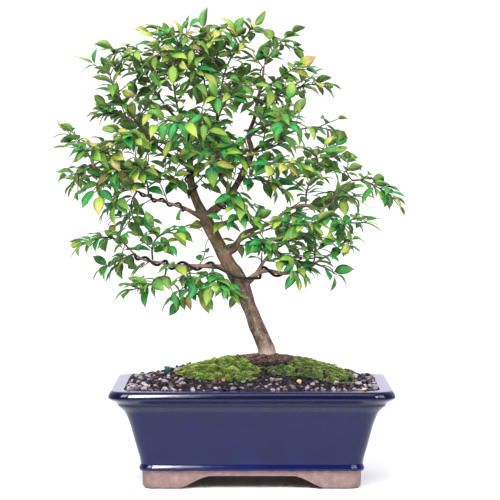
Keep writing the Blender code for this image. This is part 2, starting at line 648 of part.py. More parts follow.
def build_wires(space):
    front_crossing = [Vector(row) for row in ((-21, -7.9, 155), (-14.5, -9.3, 152), (-8, -9.3, 149.6))]
    low_wire = (
        wound("low_left", 0.93, 0.19, -4, 1.0, THICK_WIRE) + front_crossing
        + wound("low_right", 0.18, 0.44, 1.5, 3.6, THICK_WIRE)
    )
    left_wire = wound("middle_left", 0.93, 0.24, -3.5, 1.2, THIN_WIRE)
    leader_wire = wound("left_leader", 0.18, 0.36, 1.5, 2.0, THIN_WIRE)
    right_wire = wound("right_leader", 0.145, 0.235, 1.75, 2.0, THIN_WIRE)
    routes = (
        ("training_wire_low", low_wire, THICK_WIRE),
        ("training_wire_left", left_wire, THIN_WIRE),
        ("training_wire_left_leader", leader_wire, THIN_WIRE),
        ("training_wire_right_leader", right_wire, THIN_WIRE),
    )
    for name, route, radius in routes:
        shape = tube(route, [radius] * len(route), WIRE_SIDES)
        add_object(name, shape, "black_wire")
        space.add(shape)


def leaf(base, along, face_up, length, width, thickness, trim=0.0):
    """A thin arched blade with a raised rib; trim leaves the root out of a test shape."""
    across = face_up.cross(along).normalized()
    face_up = along.cross(across).normalized()

    def place(share, side, height):
        return base + along * (share * length) + across * (side * width / 2) + face_up * height

    points = [place(trim, 0.0, 0.0)]
    for share, side, rise, sag in BLADE_EDGE:
        points.append(place(share, side, rise - sag * BLADE_SAG * length))
    edge = len(points)
    points += [place(BLADE_THICKEST, 0.0, side * thickness / 2) for side in (1, -1)]
    faces = []
    for index in range(edge):
        after = (index + 1) % edge
        faces.append((index, after, edge))
        faces.append((after, index, edge + 1))
    return points, faces


def is_clear(bark, point):
    nearest, normal, _, distance = bark.find_nearest(point)
    return distance >= GAP and (point - nearest).dot(normal) > 0


def seated_path(rows, bark):
    """A few points along the spray's smooth curve, starting just clear of the bark that carries it."""
    points, _ = smooth_path([(*row, 0.0) for row in rows], SPRAY_FINE_STEPS)
    start = max([0] + [index for index, point in enumerate(points) if not is_clear(bark, point)])
    while True:
        steps = len(points) - 1 - start
        knots = max(2, round(steps / SPRAY_FINE_STEPS))
        path = [points[start + round(steps * knot / knots)] for knot in range(knots + 1)]
        root_end = tube(path, [SPRAY_ROOT_RADIUS] * len(path), SPRAY_SIDES)[0][:SPRAY_SIDES]
        if all(is_clear(bark, corner) for corner in root_end):
            return path
        start += 1


def point_at(path, distance):
    for start, end in zip(path, path[1:]):
        span = (end - start).length
        if distance <= span:
            return start.lerp(end, distance / span), (end - start).normalized()
        distance -= span
    return path[-1], (path[-1] - path[-2]).normalized()


def leaf_pose(draw, centre, along, turn, side):
    """Direction and upper face of a leaf: side is -1 or 1 in a pair, and 0 at a stem's tip."""
    outward = Vector((centre.x - CANOPY_MIDDLE_X, centre.y, 0)).normalized()
    up = Vector((0, 0, 1))
    sideways = along.cross(up).normalized()
    lift = sideways.cross(along).normalized()
    spread = math.cos(turn) * sideways + math.sin(turn) * lift
    direction = along * draw.uniform(*LEAF_FORWARD) + side * spread - up * draw.uniform(*LEAF_DROOP)
    direction += outward * draw.uniform(*LEAF_OUTWARD)
    if side == 0:
        direction = along + direction * TIP_LEAF_TURN
    direction.normalize()
    face_up = up * draw.uniform(*FACE_UPWARD) + outward * draw.uniform(*FACE_OUTWARD)
    face_up += Vector([draw.uniform(*FACE_WOBBLE) for _ in range(3)])
    return direction, face_up


def grow_leaf(draw, space, stem, centre, along, turn, side):
    """Tries poses until a leaf is clear of everything but its own stem; returns its shape or None."""
    length = LEAF_LENGTH * draw.uniform(1 - LEAF_LENGTH_SPREAD, 1 + LEAF_LENGTH_SPREAD)
    for _ in range(LEAF_TRIES):
        width = length * LEAF_WIDTH_RATIO
        direction, face_up = leaf_pose(draw, centre, along, turn, side)
        base = centre + direction * LEAF_SEAT
        test = leaf(base, direction, face_up, length + LEAF_CLEARANCE, width + 2 * LEAF_CLEARANCE,
                    LEAF_THICKNESS + 2 * LEAF_CLEARANCE, trim=LEAF_ROOT_SHARE)
        if space.is_free(test, stem):
            shape = leaf(base, direction, face_up, length, width, LEAF_THICKNESS)
            space.add(shape)
            return shape
        length *= LEAF_SHRINK
    return None


def length_of(path):
    return sum((end - start).length for start, end in zip(path, path[1:]))


def grow_shoot(draw, space, path, share, side):
    """A side shoot that leaves the stem sideways; returns its path and shape, or None."""
    centre, along = point_at(path, length_of(path) * share)
    sideways = along.cross(Vector((0, 0, 1))).normalized() * side
    for _ in range(LEAF_TRIES):
        heading = along * draw.uniform(*SHOOT_FORWARD) + sideways + Vector((0, 0, draw.uniform(*SHOOT_RISE)))
        heading.normalize()
        reach = SHOOT_LENGTH * draw.uniform(*SHOOT_REACH)
        sag = Vector((0, 0, draw.uniform(*SHOOT_SAG)))
        shoot = [centre, centre + heading * reach * 0.5, centre + (heading + sag) * reach]
        clear_part = [centre + heading * BARE_END] + shoot[1:]
        test = tube(clear_part, [SHOOT_RADIUS + SHOOT_CLEARANCE] * 3, SPRAY_SIDES)
        if space.is_free(test):
            return shoot, tube(shoot, [SHOOT_RADIUS, SHOOT_RADIUS, SHOOT_TIP_RADIUS], SPRAY_SIDES)
    return None


def grow_leaves(draw, space, stem, path):
    """Opposite pairs along the stem and one leaf at its tip."""
    reach = length_of(path)
    leaves = []
    distance = LEAF_FIRST * draw.uniform(*FIRST_LEAF_SPREAD)
    turn = draw.uniform(*FIRST_TURN)
    while distance < reach - BARE_END:
        centre, along = point_at(path, distance)
        for side in (-1, 1):
            leaves.append(grow_leaf(draw, space, stem, centre, along, turn, side))
        distance += LEAF_SPACING * draw.uniform(*PAIR_SPREAD)
        turn = PAIR_TURN - turn
    centre, along = point_at(path, reach - TIP_SEAT)
    leaves.append(grow_leaf(draw, space, stem, centre, along, turn, 0))
    return [shape for shape in leaves if shape]


def stem_shape(path):
    count = len(path) - 1
    taper = [SPRAY_ROOT_RADIUS + (SPRAY_TIP_RADIUS - SPRAY_ROOT_RADIUS) * index / count
             for index in range(count + 1)]
    return tube(path, taper, SPRAY_SIDES)


def build_sprays(space, bark):
    """All stems first, then all side shoots, then the leaves, each clear of what is there."""
    stems = {name: [(seated_path(rows, bark), None)] for name, rows in SPRAYS.items()}
    for name, ((path, _),) in stems.items():
        shape = stem_shape(path)
        stems[name] = [(path, shape)]
        space.add(shape, (name, 0))
    draw = random.Random(LEAF_SEED)
    for name, grown in stems.items():
        shoot = grow_shoot(draw, space, grown[0][0], SHOOT_SHARE, draw.choice((-1, 1)))
        if shoot:
            grown.append(shoot)
            space.add(shoot[1], (name, 1))
    for name, grown in stems.items():
        leaves = []
        for index, (path, _) in enumerate(grown):
            leaves += grow_leaves(draw, space, (name, index), path)
        spray = add_object("spray_" + name, grown[0][1], "leaf")
        fuse(spray, [shape for _, shape in grown[1:]] + leaves)


def main():
    clear_scene()
    build_pot()
    build_screens()
    build_soil()
    build_moss()
    space = Space()
    bark = build_tree(space)
    build_wires(space)
    build_sprays(space, bark)


main()
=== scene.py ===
"""Looks of the jaboticaba bonsai: fine leaves, bark, grit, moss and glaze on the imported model.

Tables and sizes are in millimetres from the pot's centre, as in the model's own source; x runs to the
right of the front view, y away from the viewer and z up from the ground.
"""

import json
import math
import random
from typing import NamedTuple

import bmesh
import bpy
from mathutils import Euler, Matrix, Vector, noise
from mathutils.bvhtree import BVHTree

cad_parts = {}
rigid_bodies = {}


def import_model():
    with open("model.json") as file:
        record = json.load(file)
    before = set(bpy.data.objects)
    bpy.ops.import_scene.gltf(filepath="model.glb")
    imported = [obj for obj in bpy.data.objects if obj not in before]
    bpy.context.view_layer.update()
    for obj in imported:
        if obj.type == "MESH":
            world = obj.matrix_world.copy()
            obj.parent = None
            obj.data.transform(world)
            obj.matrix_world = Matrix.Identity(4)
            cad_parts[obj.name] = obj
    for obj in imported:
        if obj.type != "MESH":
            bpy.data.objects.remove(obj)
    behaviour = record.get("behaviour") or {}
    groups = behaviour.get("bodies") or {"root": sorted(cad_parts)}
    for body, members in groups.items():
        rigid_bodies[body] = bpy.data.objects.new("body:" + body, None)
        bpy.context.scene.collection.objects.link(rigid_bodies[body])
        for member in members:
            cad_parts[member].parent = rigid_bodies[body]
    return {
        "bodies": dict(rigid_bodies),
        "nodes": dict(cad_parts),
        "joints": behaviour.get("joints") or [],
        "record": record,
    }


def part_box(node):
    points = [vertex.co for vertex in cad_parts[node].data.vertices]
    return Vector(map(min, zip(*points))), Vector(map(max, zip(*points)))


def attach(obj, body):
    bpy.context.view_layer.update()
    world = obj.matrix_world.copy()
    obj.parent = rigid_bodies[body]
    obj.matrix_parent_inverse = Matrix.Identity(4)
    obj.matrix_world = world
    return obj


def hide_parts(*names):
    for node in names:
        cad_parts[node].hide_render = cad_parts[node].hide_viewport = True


MM = 0.001
UP = Vector((0, 0, 1))

# Camera, fitted to the photograph
FRAME_PIXELS = 500.0
FOCAL_PIXELS = 2555.0
HORIZON_ROW = 133.6
CAMERA_PLACE = (-1.3, -1875.0, 255.0)
SENSOR = 36.0

# Lights: place, point it looks at, width, height, power in watts
LIGHTS = {
    "key": ((-900, -1250, 1600), (0, 0, 180), 1100, 1100, 54.5),
    "fill": ((1150, -1150, 1200), (0, 0, 150), 1000, 1000, 25.0),
    "glint": ((-160, -1500, 1120), (0, 0, 70), 70, 900, 13.0),
    "glint_fade": ((-102, -1500, 1120), (0, 0, 70), 46, 900, 1.2),
    "rim_line": ((0, -900, 1310), (0, -75, 70), 330, 360, 2.3),
    "spark": ((420, -1500, 1000), (80, 0, 70), 380, 560, 13.0),
}
STUDIO_BRIGHT = 1.2
STUDIO_DIM = 0.28
STUDIO_TINT = (0.97, 0.94, 1.08)
# Directions in which the studio brightens, from and to
STUDIO_RISES = (("Y", -0.2, 0.95), ("Z", 0.82, 1.0))
FLOOR_RADIUS = 480.0
FLOOR_SIDES = 96

# Pot, as in the model
RIM_LENGTH = 205.0
RIM_DEPTH = 150.0
RIM_CORNER = 15.0
CORNER_SHRINK = 0.25
CORNER_STEPS = 20
FLOOR_TOP = 16.0
FLOOR_UNDERSIDE = 10.5
# Inset from the rim's outermost line, height; more points than in the model where the profile turns
POT_OUTSIDE = (
    (26.0, 0.0), (24.0, 2.4), (23.6, 11.5), (21.9, 13.3), (21.45, 14.5), (21.5, 15.4), (21.95, 16.5),
    (22.4, 17.6), (22.3, 19.4), (21.3, 24.0),
    (18.2, 35.0), (15.0, 47.0), (11.7, 55.4), (9.0, 58.6), (7.1, 60.4), (6.5, 61.3), (6.0, 62.4),
    (5.0, 63.4), (2.6, 64.9), (0.35, 66.4), (0.0, 67.6),
    (0.3, 69.0), (0.95, 70.4), (1.9, 71.5), (3.2, 72.0),
)
POT_INSIDE = (
    (9.8, 72.0), (11.4, 70.6), (16.0, 57.0), (23.5, 36.0), (30.0, FLOOR_TOP),
)
PROFILE_STEPS = 4
SKIRT_THICKNESS = 8.0
FRONT_CUT = (56.4, 29.0)
SIDE_CUT = (31.0, 12.0)
CUT_HEIGHT = 9.6
CUT_STEPS = 20
ARCH_FLARE = 0.5
CUTTER_OVERRUN = 2.0
DRAIN_RADIUS = 6.5
DRAIN_X = 45.0
DRAIN_SIDES = 32
GLAZE_EDGE = 13.3
SHARP_ANGLE = math.radians(42)

# Soil and moss
BED_GAP = 0.36
TRUNK_FOOT = (11.5, 0.0)
STUB_RADIUS = 7.2
STUB_BOTTOM = 62.0
MOUND_EDGE = 72.4
MOUND_RISE = 20.6
MOUND_POWER = 1.6
CORNER_POWER = 2.6
SOIL_RINGS = 26
SOIL_SIDE_STEPS = (44, 30)
SOIL_CORNER_STEPS = 6
STONE_SEED = 5
STONE_TRIES = 18000
STONE_SIZES = (0.7, 3.5)
BIG_STONE = 1.7
CRUMB_SIZE = 1.25
STONE_CELL = 6
STONE_CLOSENESS = 0.78
STONE_FROM_WALL = 1.6
STONE_CORNER_CUT = 4
# Odd stones: x, y, size, colour from 0 to 1
ODD_STONES = (
    (-62, -3, 3.8, 0.4), (-20.5, -50.5, 2.3, 1.0), (34, -53, 2.6, 0.7), (80, -62, 2.4, 0.7),
    (62, 22, 2.4, 0.7), (-48, 34, 2.2, 1.0), (-77, -57, 3.3, 0.85), (-61, -60, 3.0, 0.85),
    (-42, -60, 2.7, 0.85), (-86, -38, 2.6, 0.85), (-25, -60.5, 2.5, 0.85), (77, -36, 2.8, 0.85),
    (58, -59, 2.6, 0.85),
)
ROOT_ZONE = 21.0
ROOT_ZONE_STONE = 1.1
ROOT_ZONE_BARE = 0.7
ROOT_BED = (23.0, 32.0)
ROOT_HAIRS = 420
ROOT_HAIR_STEPS = 6
ROOT_HAIR_REACH = (4, 12)
ROOT_HAIR_RADIUS = (0.16, 0.38)
MOSS_LUMP_SIZE = 6.0
MOSS_RINGS = 22
MOSS_SECTORS = 72
MOSS_SEED = 8
# Fine cushions: middle, half sizes, rise, how dry
MOSS_FINE = {
    "moss_front_left": (-20.5, -22.5, 31.0, 28.0, 2.8, 0.1),
    "moss_front_right": (41.5, -21.5, 33.0, 25.5, 2.0, 0.42),
    "moss_behind": (-9.0, 13.0, 9.0, 6.0, 1.2, 0.4),
}
TUFTS_PER_AREA = 2.8
TUFT_SIZES = (0.8, 1.7)
TUFT_BLADES = 5
# How far up a tuft's foot, sides and tip count for its colour
TUFT_HEIGHTS = (0.1, 0.6, 1.0, 0.6)
BARE_DEPTH = 1.5

# Tree: rows of x, y, z, radius, as in the model
BRANCHES = {
    "trunk": (
        (11.5, 0, STUB_BOTTOM, 7.0), (11.5, 0, 78, STUB_RADIUS), (11.5, 0, 89, STUB_RADIUS),
        (11.2, 0, 94.5, 6.8), (8.5, 0, 102, 6.1), (-0.5, 0, 124.5, 5.6), (-5.7, 0, 139.5, 5.7),
        (-8.5, 0, 146, 6.4), (-12.3, 0, 152.5, 6.1), (-15.8, 0, 157.5, 5.6), (-21.1, 0, 167.3, 5.2),
        (-25.3, 0, 175.5, 5.0), (-29.6, 0, 184, 5.0), (-34.2, 0, 193.5, 4.7),
    ),
    "left_leader": (
        (-32.5, 0, 190, 4.2), (-39.6, 1, 203, 3.6), (-43.3, 2, 213, 3.2), (-45.1, 4, 224, 2.9),
        (-45.5, 6, 235, 2.5), (-45.7, 7, 246, 2.1), (-46.5, 7, 254, 1.9), (-51, 6, 262, 1.6),
        (-58, 5, 269, 1.3), (-64, 4, 276, 1.0),
    ),
    "right_leader": (
        (-33.5, 0, 192, 4.0), (-28.5, -2, 198.2, 3.6), (-22.6, -4, 203, 3.2), (-16.7, -5, 208.6, 2.8),
        (-9.4, -6, 220.6, 2.5), (-4.6, -6, 231.4, 2.4), (-1.2, -6, 238, 2.7), (-0.5, -5, 245, 2.2),
        (-2.4, -4, 253.5, 1.8), (2.4, -2, 267.5, 1.6), (4.2, -1, 279, 1.4), (7.6, 0, 294, 1.1),
        (9, 0, 305, 0.9),
    ),
    "middle_stem": (
        (-14, -5, 212, 2.0), (-22.2, 2, 221.8, 1.8), (-24.8, 5, 232, 1.7), (-25.2, 7, 246, 1.5),
        (-25.9, 8, 261, 1.4), (-24.8, 8, 275.6, 1.2), (-22.6, 7, 288, 1.0),
    ),
    "low_right": (
        (-8, 0, 144.5, 3.4), (-2, -1, 147.3, 2.9), (4.4, -2, 152.5, 2.1), (11.3, -3, 154.5, 1.7),
        (23.1, -4, 152.7, 1.5), (34.9, -4, 154, 1.3), (42.5, -4, 157, 1.2), (50.7, -5, 163, 1.0),
        (60.7, -5, 168, 0.9), (68.5, -6, 171.4, 0.8), (76.4, -6, 172.8, 0.6),
    ),
    "low_right_fork": (
        (3.2, -2, 151.8, 1.6), (8.3, -5, 160.6, 1.4), (13.2, -7, 166.5, 1.2), (19.4, -8, 171.7, 1.0),
    ),
    "middle_right": (
        (-20.5, 0, 166.5, 2.6), (-13, -2, 170, 2.5), (-10, -3, 176, 2.2), (-6.4, -4, 181.3, 2.0),
        (1.4, -5, 185, 1.8), (11.3, -6, 188.7, 1.7), (17.9, -6, 192.3, 1.6), (23.1, -6, 196.8, 1.5),
        (29, -6, 200.4, 1.4), (38.9, -6, 202.7, 1.4), (45.9, -5, 200, 1.2), (53.7, -5, 201.2, 1.1),
        (58, -4, 204.5, 1.0), (60.7, -4, 208.8, 1.0), (65.5, -3, 215.9, 0.9), (73.2, -3, 220.6, 0.7),
    ),
    "middle_left": (
        (-33.5, 0, 191.5, 2.4), (-45.5, -2, 198.4, 1.7), (-51.8, -3, 201.2, 1.5), (-61.4, -4, 204.4, 1.2),
        (-71, -5, 206.8, 1.1), (-77.4, -5, 210, 1.0), (-87.5, -5, 214.4, 0.8),
    ),
    "low_left": (
        (-16.5, 0, 155, 2.8), (-23.5, -1, 157, 2.2), (-29.4, -2, 157.5, 1.9), (-41.4, -3, 158.1, 1.7),
        (-53.6, -4, 158.1, 1.6), (-61.4, -4, 158.9, 1.4), (-67, -5, 160.6, 1.2), (-77.4, -5, 162.1, 1.1),
        (-83.8, -6, 165.3, 1.0), (-89.3, -6, 170.2, 0.8),
    ),
    "high_left": (
        (-45.4, 4, 230, 2.0), (-52.8, 2, 235.1, 1.8), (-60.2, 0, 238.8, 1.7), (-67.6, -2, 243.9, 1.6),
        (-73.5, -3, 249.1, 1.5), (-77.4, -3, 255, 1.3), (-83, -4, 262, 1.1), (-90, -5, 271, 0.9),
    ),
    "far_left": (
        (-42, 2, 209, 2.0), (-50, 8, 214, 1.8), (-61.7, 13, 222.5, 1.6), (-75, 14, 229, 1.4),
        (-90, 12, 233.5, 1.2), (-104, 10, 235, 1.0), (-118, 8, 236, 0.8),
    ),
    "back_low": (
        (-19, 0, 163, 2.4), (-15, 12, 170, 1.9), (-8, 27, 176, 1.6), (1, 40, 179.5, 1.3), (10, 52, 182, 0.9),
    ),
    "back_left": (
        (-45.3, 6, 236, 2.0), (-52, 18, 242, 1.7), (-62, 31, 247, 1.4), (-74, 43, 250, 1.1),
        (-85, 54, 252, 0.8),
    ),
    "back_right": (
        (-1, -6, 240, 1.9), (8, 8, 247, 1.6), (18, 23, 252, 1.4), (29, 37, 256, 1.1), (40, 50, 259, 0.8),
    ),
    "back_middle": (
        (-24.8, 5, 230, 1.6), (-25, 20, 236, 1.5), (-26, 36, 240, 1.2), (-28, 50, 243, 0.9),
    ),
    "front_left": (
        (-45.7, 7, 244, 1.8), (-46, -6, 252, 1.5), (-48, -22, 258, 1.2), (-52, -37, 261, 0.8),
    ),
    "front_right": (
        (-2.4, -4, 252, 1.6), (4, -16, 258, 1.4), (12, -29, 261, 1.1), (20, -42, 263, 0.8),
    ),
}
BARK_SIDES = 20
BARK_STEPS = 6
BARK_VOXEL = 0.5
BARK_SMOOTHING = 4
BARK_RELIEF = 0.07
BARK_SWELL = -0.12
BARK_LUMP_SIZE = 9
TRUNK_LEAN = math.radians(24.5)
TRUNK_ROOT = (11.2, 0.0, 94.5)
# Pale scar and reddish place on the trunk's front, and the fork where the two leaders part, around which
# shade is painted
BRANCH_SCAR = (-18.8, -5.5, 168.6)
RED_PLACE = (-19.4, -5.5, 164.6)
FORK_SHADE_PLACE = (-33.0, -3.0, 194.5)

# Leafy stems: rows of x, y, z from the branch's middle line to the tip, as in the model
SPRAYS = {
    "top_left": ((-64, 4, 276), (-71, 9, 286), (-77, 15, 297), (-82, 20, 309)),
    "top_left_inner": ((-51, 6, 262), (-55, -3, 277), (-57, -12, 293), (-55, -19, 311), (-50, -23, 328)),
    "top_far_left": ((-90, -5, 271), (-96, -11, 281), (-101, -17, 291), (-104, -21, 302)),
    "high_left_tip": ((-83, -4, 262), (-91, -4, 266), (-100, -1, 270), (-110, 3, 271)),
    "high_left_back": ((-77, -3, 255), (-85, 10, 262), (-92, 23, 267), (-100, 35, 269)),
    "high_left_front": ((-67.6, -2, 244), (-75, -15, 248), (-83, -28, 252), (-92, -40, 253)),
    "far_left_tip": ((-118, 8, 236), (-123, 3, 243), (-127, -1, 250), (-131, -4, 256)),
    "far_left_low": ((-110, 9, 235.5), (-118, 14, 231), (-125, 17, 226), (-131, 19, 219)),
    "far_left_droop": ((-90, 12, 233.5), (-99, 0, 230), (-108, -7, 223), (-115, -12, 214)),
    "far_left_front": ((-98, 11, 234.5), (-105, -5, 240), (-112, -20, 243), (-120, -34, 242)),
    "far_left_back": ((-75, 14, 229), (-84, 27, 228), (-94, 38, 225), (-105, 47, 221)),
    "middle_left_tip": ((-87.5, -5, 214.4), (-94, -6, 213), (-100, -8, 208), (-105, -9, 201)),
    "middle_left_up": ((-75.5, -5, 209), (-76, -12, 218), (-80, -22, 226), (-86, -32, 231)),
    "middle_left_low": ((-84, -5, 213), (-88, 3, 206), (-89, 11, 198), (-87, 18, 190)),
    "low_left_tip": ((-89.3, -6, 170.2), (-95, -7, 176), (-104, -8, 179), (-113, -9, 179), (-120, -10, 175)),
    "low_left_up": ((-72.5, -5, 161), (-73, -8, 171), (-69, -11, 179), (-60, -12, 184), (-49, -13, 186)),
    "low_left_out": ((-86, -6, 167), (-93, 2, 164), (-98, 9, 160), (-103, 14, 154)),
    "low_left_droop": ((-63, -4.5, 159.5), (-63, -6, 152), (-71, -8, 146), (-79, -9, 143), (-87, -10, 141)),
    "low_left_inner": ((-47.5, -3.7, 158), (-45, -7, 152), (-46, -9, 146), (-46, -10, 139)),
    "low_left_root": ((-29.4, -2, 157.5), (-27, -7, 152), (-23, -12, 147), (-18, -15, 142)),
    "low_right_inner": ((-4, -4, 180.5), (1, -10, 177), (9, -13, 175), (18, -14, 175)),
    "low_right_fork": ((19.4, -8, 171.7), (27, -2, 176), (36, 5, 179), (46, 11, 180)),
    "low_right_droop": ((16, -7.5, 169), (23, -14, 167), (30, -18, 162), (35, -20, 155)),
    "low_right_tip": ((60.7, -5, 168), (63, -11, 172), (67, -16, 176), (73, -20, 178)),
    "low_right_under": ((42.5, -4, 157), (45, -10, 161), (46, -17, 166), (44, -25, 171)),
    "middle_right_front": ((23.1, -6, 196.8), (28, -16, 195), (35, -26, 192), (43, -36, 189)),
    "middle_right_low": ((45.9, -5, 200), (53, -10, 196), (62, -12, 192), (72, -13, 190), (81, -14, 190)),
    "middle_right_tip": ((73.2, -3, 220.6), (80, -4, 221), (88, -6, 218), (95, -8, 214), (102, -10, 210)),
    "middle_right_up": ((39.5, -6, 202.5), (40, -3, 212), (44, 2, 222), (51, 7, 232), (60, 11, 240)),
    "middle_right_back": ((53.7, -5, 201.2), (58, 8, 206), (64, 20, 209), (71, 31, 209)),
    "right_side_twig": ((-0.8, -5.5, 241), (9, -9, 243), (19, -12, 247), (25, -13, 257), (31, -14, 270)),
    "right_front": ((-4.6, -6, 231.4), (5, -15, 233), (15, -25, 234), (26, -35, 234), (36, -43, 232)),
    "right_droop": ((-9.4, -6, 220.6), (0, -14, 222), (10, -20, 221), (20, -23, 216)),
    "centre_droop": ((-13, -5.5, 214), (-10, -13, 212), (-7, -20, 208), (-4, -26, 201)),
    "centre_low": ((-32, 0, 189), (-22, -9, 190), (-12, -13, 192), (-1, -15, 193), (9, -16, 191)),
    "crown_right_tip": ((9, 0, 305), (13, 4, 312), (18, 9, 319), (24, 14, 325)),
    "crown_right": ((5.5, -0.5, 284), (14, -9, 291), (24, -17, 298), (34, -24, 304)),
    "crown_right_low": ((4, -1, 277), (15, 8, 282), (28, 16, 287), (41, 22, 291), (52, 26, 292)),
    "crown_top": ((-22.6, 7, 288), (-20, 2, 299), (-15, -2, 311), (-7, -4, 323), (2, -5, 334)),
    "crown_top_left": ((-25.5, 8, 268), (-32, 10, 282), (-36, 13, 299), (-38, 16, 316), (-36, 18, 333)),
    "crown_front": ((-25.9, 8, 261), (-24, -7, 268), (-20, -21, 276), (-14, -33, 285), (-7, -41, 292)),
    "crown_back": ((-24.8, 8, 275.6), (-20, 20, 284), (-15, 32, 292), (-11, 43, 299)),
    "front_left_tip": ((-52, -37, 261), (-57, -48, 264), (-62, -59, 264), (-67, -70, 261)),
    "front_right_tip": ((20, -42, 263), (26, -52, 264), (32, -62, 263), (38, -71, 260)),
    "back_left_tip": ((-85, 54, 252), (-91, 58, 253), (-98, 62, 252), (-105, 63, 249)),
    "back_right_tip": ((40, 50, 259), (47, 54, 260), (54, 58, 259), (62, 61, 256)),
    "back_middle_tip": ((-28, 50, 243), (-30, 55, 246), (-33, 60, 247), (-38, 64, 246)),
    "back_low_tip": ((10, 52, 182), (16, 55, 184), (24, 57, 185), (32, 58, 183)),
}
GAP = 0.3
SPRAY_ROOT_RADIUS = 0.8
SPRAY_TIP_RADIUS = 0.5
SPRAY_SIDES = 3
SPRAY_FINE_STEPS = 40
SHOOT_RADIUS = 0.55
SHOOT_TIP_RADIUS = 0.45
SHOOT_LENGTH = 17.0
SHOOT_SHARE = 0.45
SHOOT_CLEARANCE = 0.5
SHOOT_TRIES = 16
LEAF_WIDTH_RATIO = 0.5
LEAF_THICKNESS = 0.8
LEAF_FIRST = 8.0
LEAF_SHRINK = 0.98
LEAF_ROOT_SHARE = 0.16
LEAF_SEAT = 0.1
LEAF_SEED = 13
# Sides of the plain tubes that leaves are kept clear of
TEST_SIDES = {"trunk": 10, "left_leader": 8, "right_leader": 8}
THIN_TEST_SIDES = 5
# Round a test blade's edge from its root: shares of the length and half width, rise, share of the sag
BLADE_EDGE = (
    (0.36, -1.0, 0.05, 0.0), (0.74, -0.68, 0.0, 0.25), (1.0, 0.0, 0.0, 1.0), (0.74, 0.68, 0.0, 0.25),
    (0.36, 1.0, 0.05, 0.0),
)
BLADE_THICKEST = 0.48
BLADE_SAG = 0.10

# How leaves and shoots turn, as shares of a unit step in each direction
CANOPY_MIDDLE_X = -30
LEAF_OUTWARD = (0.0, 0.35)
TIP_LEAF_TURN = 0.4
SHOOT_FORWARD = (0.5, 0.9)
SHOOT_RISE = (-0.4, 0.6)
SHOOT_SAG = (-0.12, 0.06)
SHOOT_REACH = (0.75, 1.15)
FIRST_LEAF_SPREAD = (0.7, 1.2)
PAIR_SPREAD = (0.8, 1.15)
FIRST_TURN = (-0.6, 0.6)
PAIR_TURN = 0.9
BARE_END = 2.0
TIP_SEAT = 1.0
TIP_YOUTH = 1.2


class LeafKind(NamedTuple):
    """How one kind of leaf turns, how long it is, the room it needs and how far apart its pairs stand."""

    forward: tuple
    droop: tuple
    face_upward: tuple
    face_outward: tuple
    face_wobble: tuple
    length: float
    length_spread: float
    clearance: float
    tries: int
    spacing: float


# The model's own leaves, and those that only the scene has
MODEL_LEAF = LeafKind(
    forward=(0.35, 0.8), droop=(0.05, 0.65), face_upward=(0.35, 1.0), face_outward=(0.2, 0.9),
    face_wobble=(-0.35, 0.35), length=16.5, length_spread=0.2, clearance=0.45, tries=16, spacing=16.0,
)
EXTRA_LEAF = LeafKind(
    forward=(0.5, 1.1), droop=(-0.25, 0.4), face_upward=(0.5, 1.1), face_outward=(0.15, 0.75),
    face_wobble=(-0.4, 0.4), length=15.0, length_spread=0.27, clearance=0.1, tries=6, spacing=8.9,
)

# Side shoots and twigs that only the scene has
EXTRA_SEED = 31
EXTRA_FIRST = EXTRA_LEAF.spacing * 0.6
EXTRA_SHOOT_FIRST = EXTRA_LEAF.spacing * 0.7
EXTRA_SHOOT_SHARES = (0.2, 0.68, 0.86)
EXTRA_SHOOT_LENGTH = 14.0
TWIG_STEPS = 4
TWIG_SIDES = 7
TWIG_SPACING = 11.0
# Share of each branch that stays without twigs
TWIG_START = {
    "left_leader": 0.12, "right_leader": 0.3, "middle_stem": 0.15, "low_left": 0.3, "low_right": 0.5,
    "middle_right": 0.35, "back_low": 0.3,
}
TWIG_START_OTHERS = 0.25
TWIG_LENGTH = (9.0, 18.0)
TWIG_FORWARD = (0.1, 0.8)
TWIG_RISE = (-0.1, 0.7)
TWIG_BARE_SHARE = 0.45
GOLDEN_ANGLE = 2.4
CELL = 12.0

# Where the crown is dense: middle, half sizes, tries
DENSE_REGIONS = (
    ((-92, -2, 311), (14, 18, 11), 20),
    ((-37, -4, 321), (34, 28, 14), 270),
    ((-54, -4, 308), (36, 32, 22), 280),
    ((-42, 0, 274), (60, 44, 56), 185),
    ((-28, -4, 240), (36, 42, 32), 150),
    ((6, -6, 268), (24, 34, 32), 80),
    ((56, 0, 235), (22, 26, 18), 80),
    ((46, -4, 192), (34, 28, 18), 60),
    ((-62, -2, 176), (42, 24, 16), 12),
    ((-57, -4, 325), (23, 24, 9), 220),
    ((-24, -12, 246), (30, 30, 26), 260),
    ((-22, -6, 324), (18, 24, 10), 200),
)
# Open places of the crown, without more leaves: x, z, half width, half height
OPEN_PLACES = (
    (48, 269, 22, 12), (-10, 264, 10, 12), (13, 202, 10, 7), (-65, 261, 12, 5),
)
DENSE_ROOM = 7.5
DENSE_REACH = (7.0, 26.0)
DENSE_BOW = 0.12

# Fine blade: share of the length, share of the half width
BLADE_OUTLINE = (
    (0.0, 0.08), (0.07, 0.07), (0.11, 0.2), (0.18, 0.57), (0.27, 0.85), (0.38, 0.99), (0.5, 1.0),
    (0.62, 0.92), (0.73, 0.73), (0.83, 0.45), (0.91, 0.18), (1.0, 0.02),
)
# Round one station: side, 1 for the upper face, -1 for the underside
BLADE_SECTION = ((-1, 0), (-0.5, 1), (0, 1), (0.5, 1), (1, 0), (0, -1))
FINE_THICKNESS = 0.3
FINE_LENGTH_SHARE = 0.98
FINE_WIDTH_SHARE = (0.72, 0.96)
# A blade's fold in degrees, and its sag, wave and sideways bend as shares of its length
FINE_FOLD = (4, 26)
FINE_SAG = (0.08, 0.38)
FINE_WAVE = (0.0, 0.03)
FINE_BEND = (-0.07, 0.07)
FINE_ARCH = 0.07
FINE_TWIST = (-0.5, 0.5)
FINE_STEM_RADII = (0.75, 0.4)
FINE_TWIG_RADII = (0.5, 0.32)
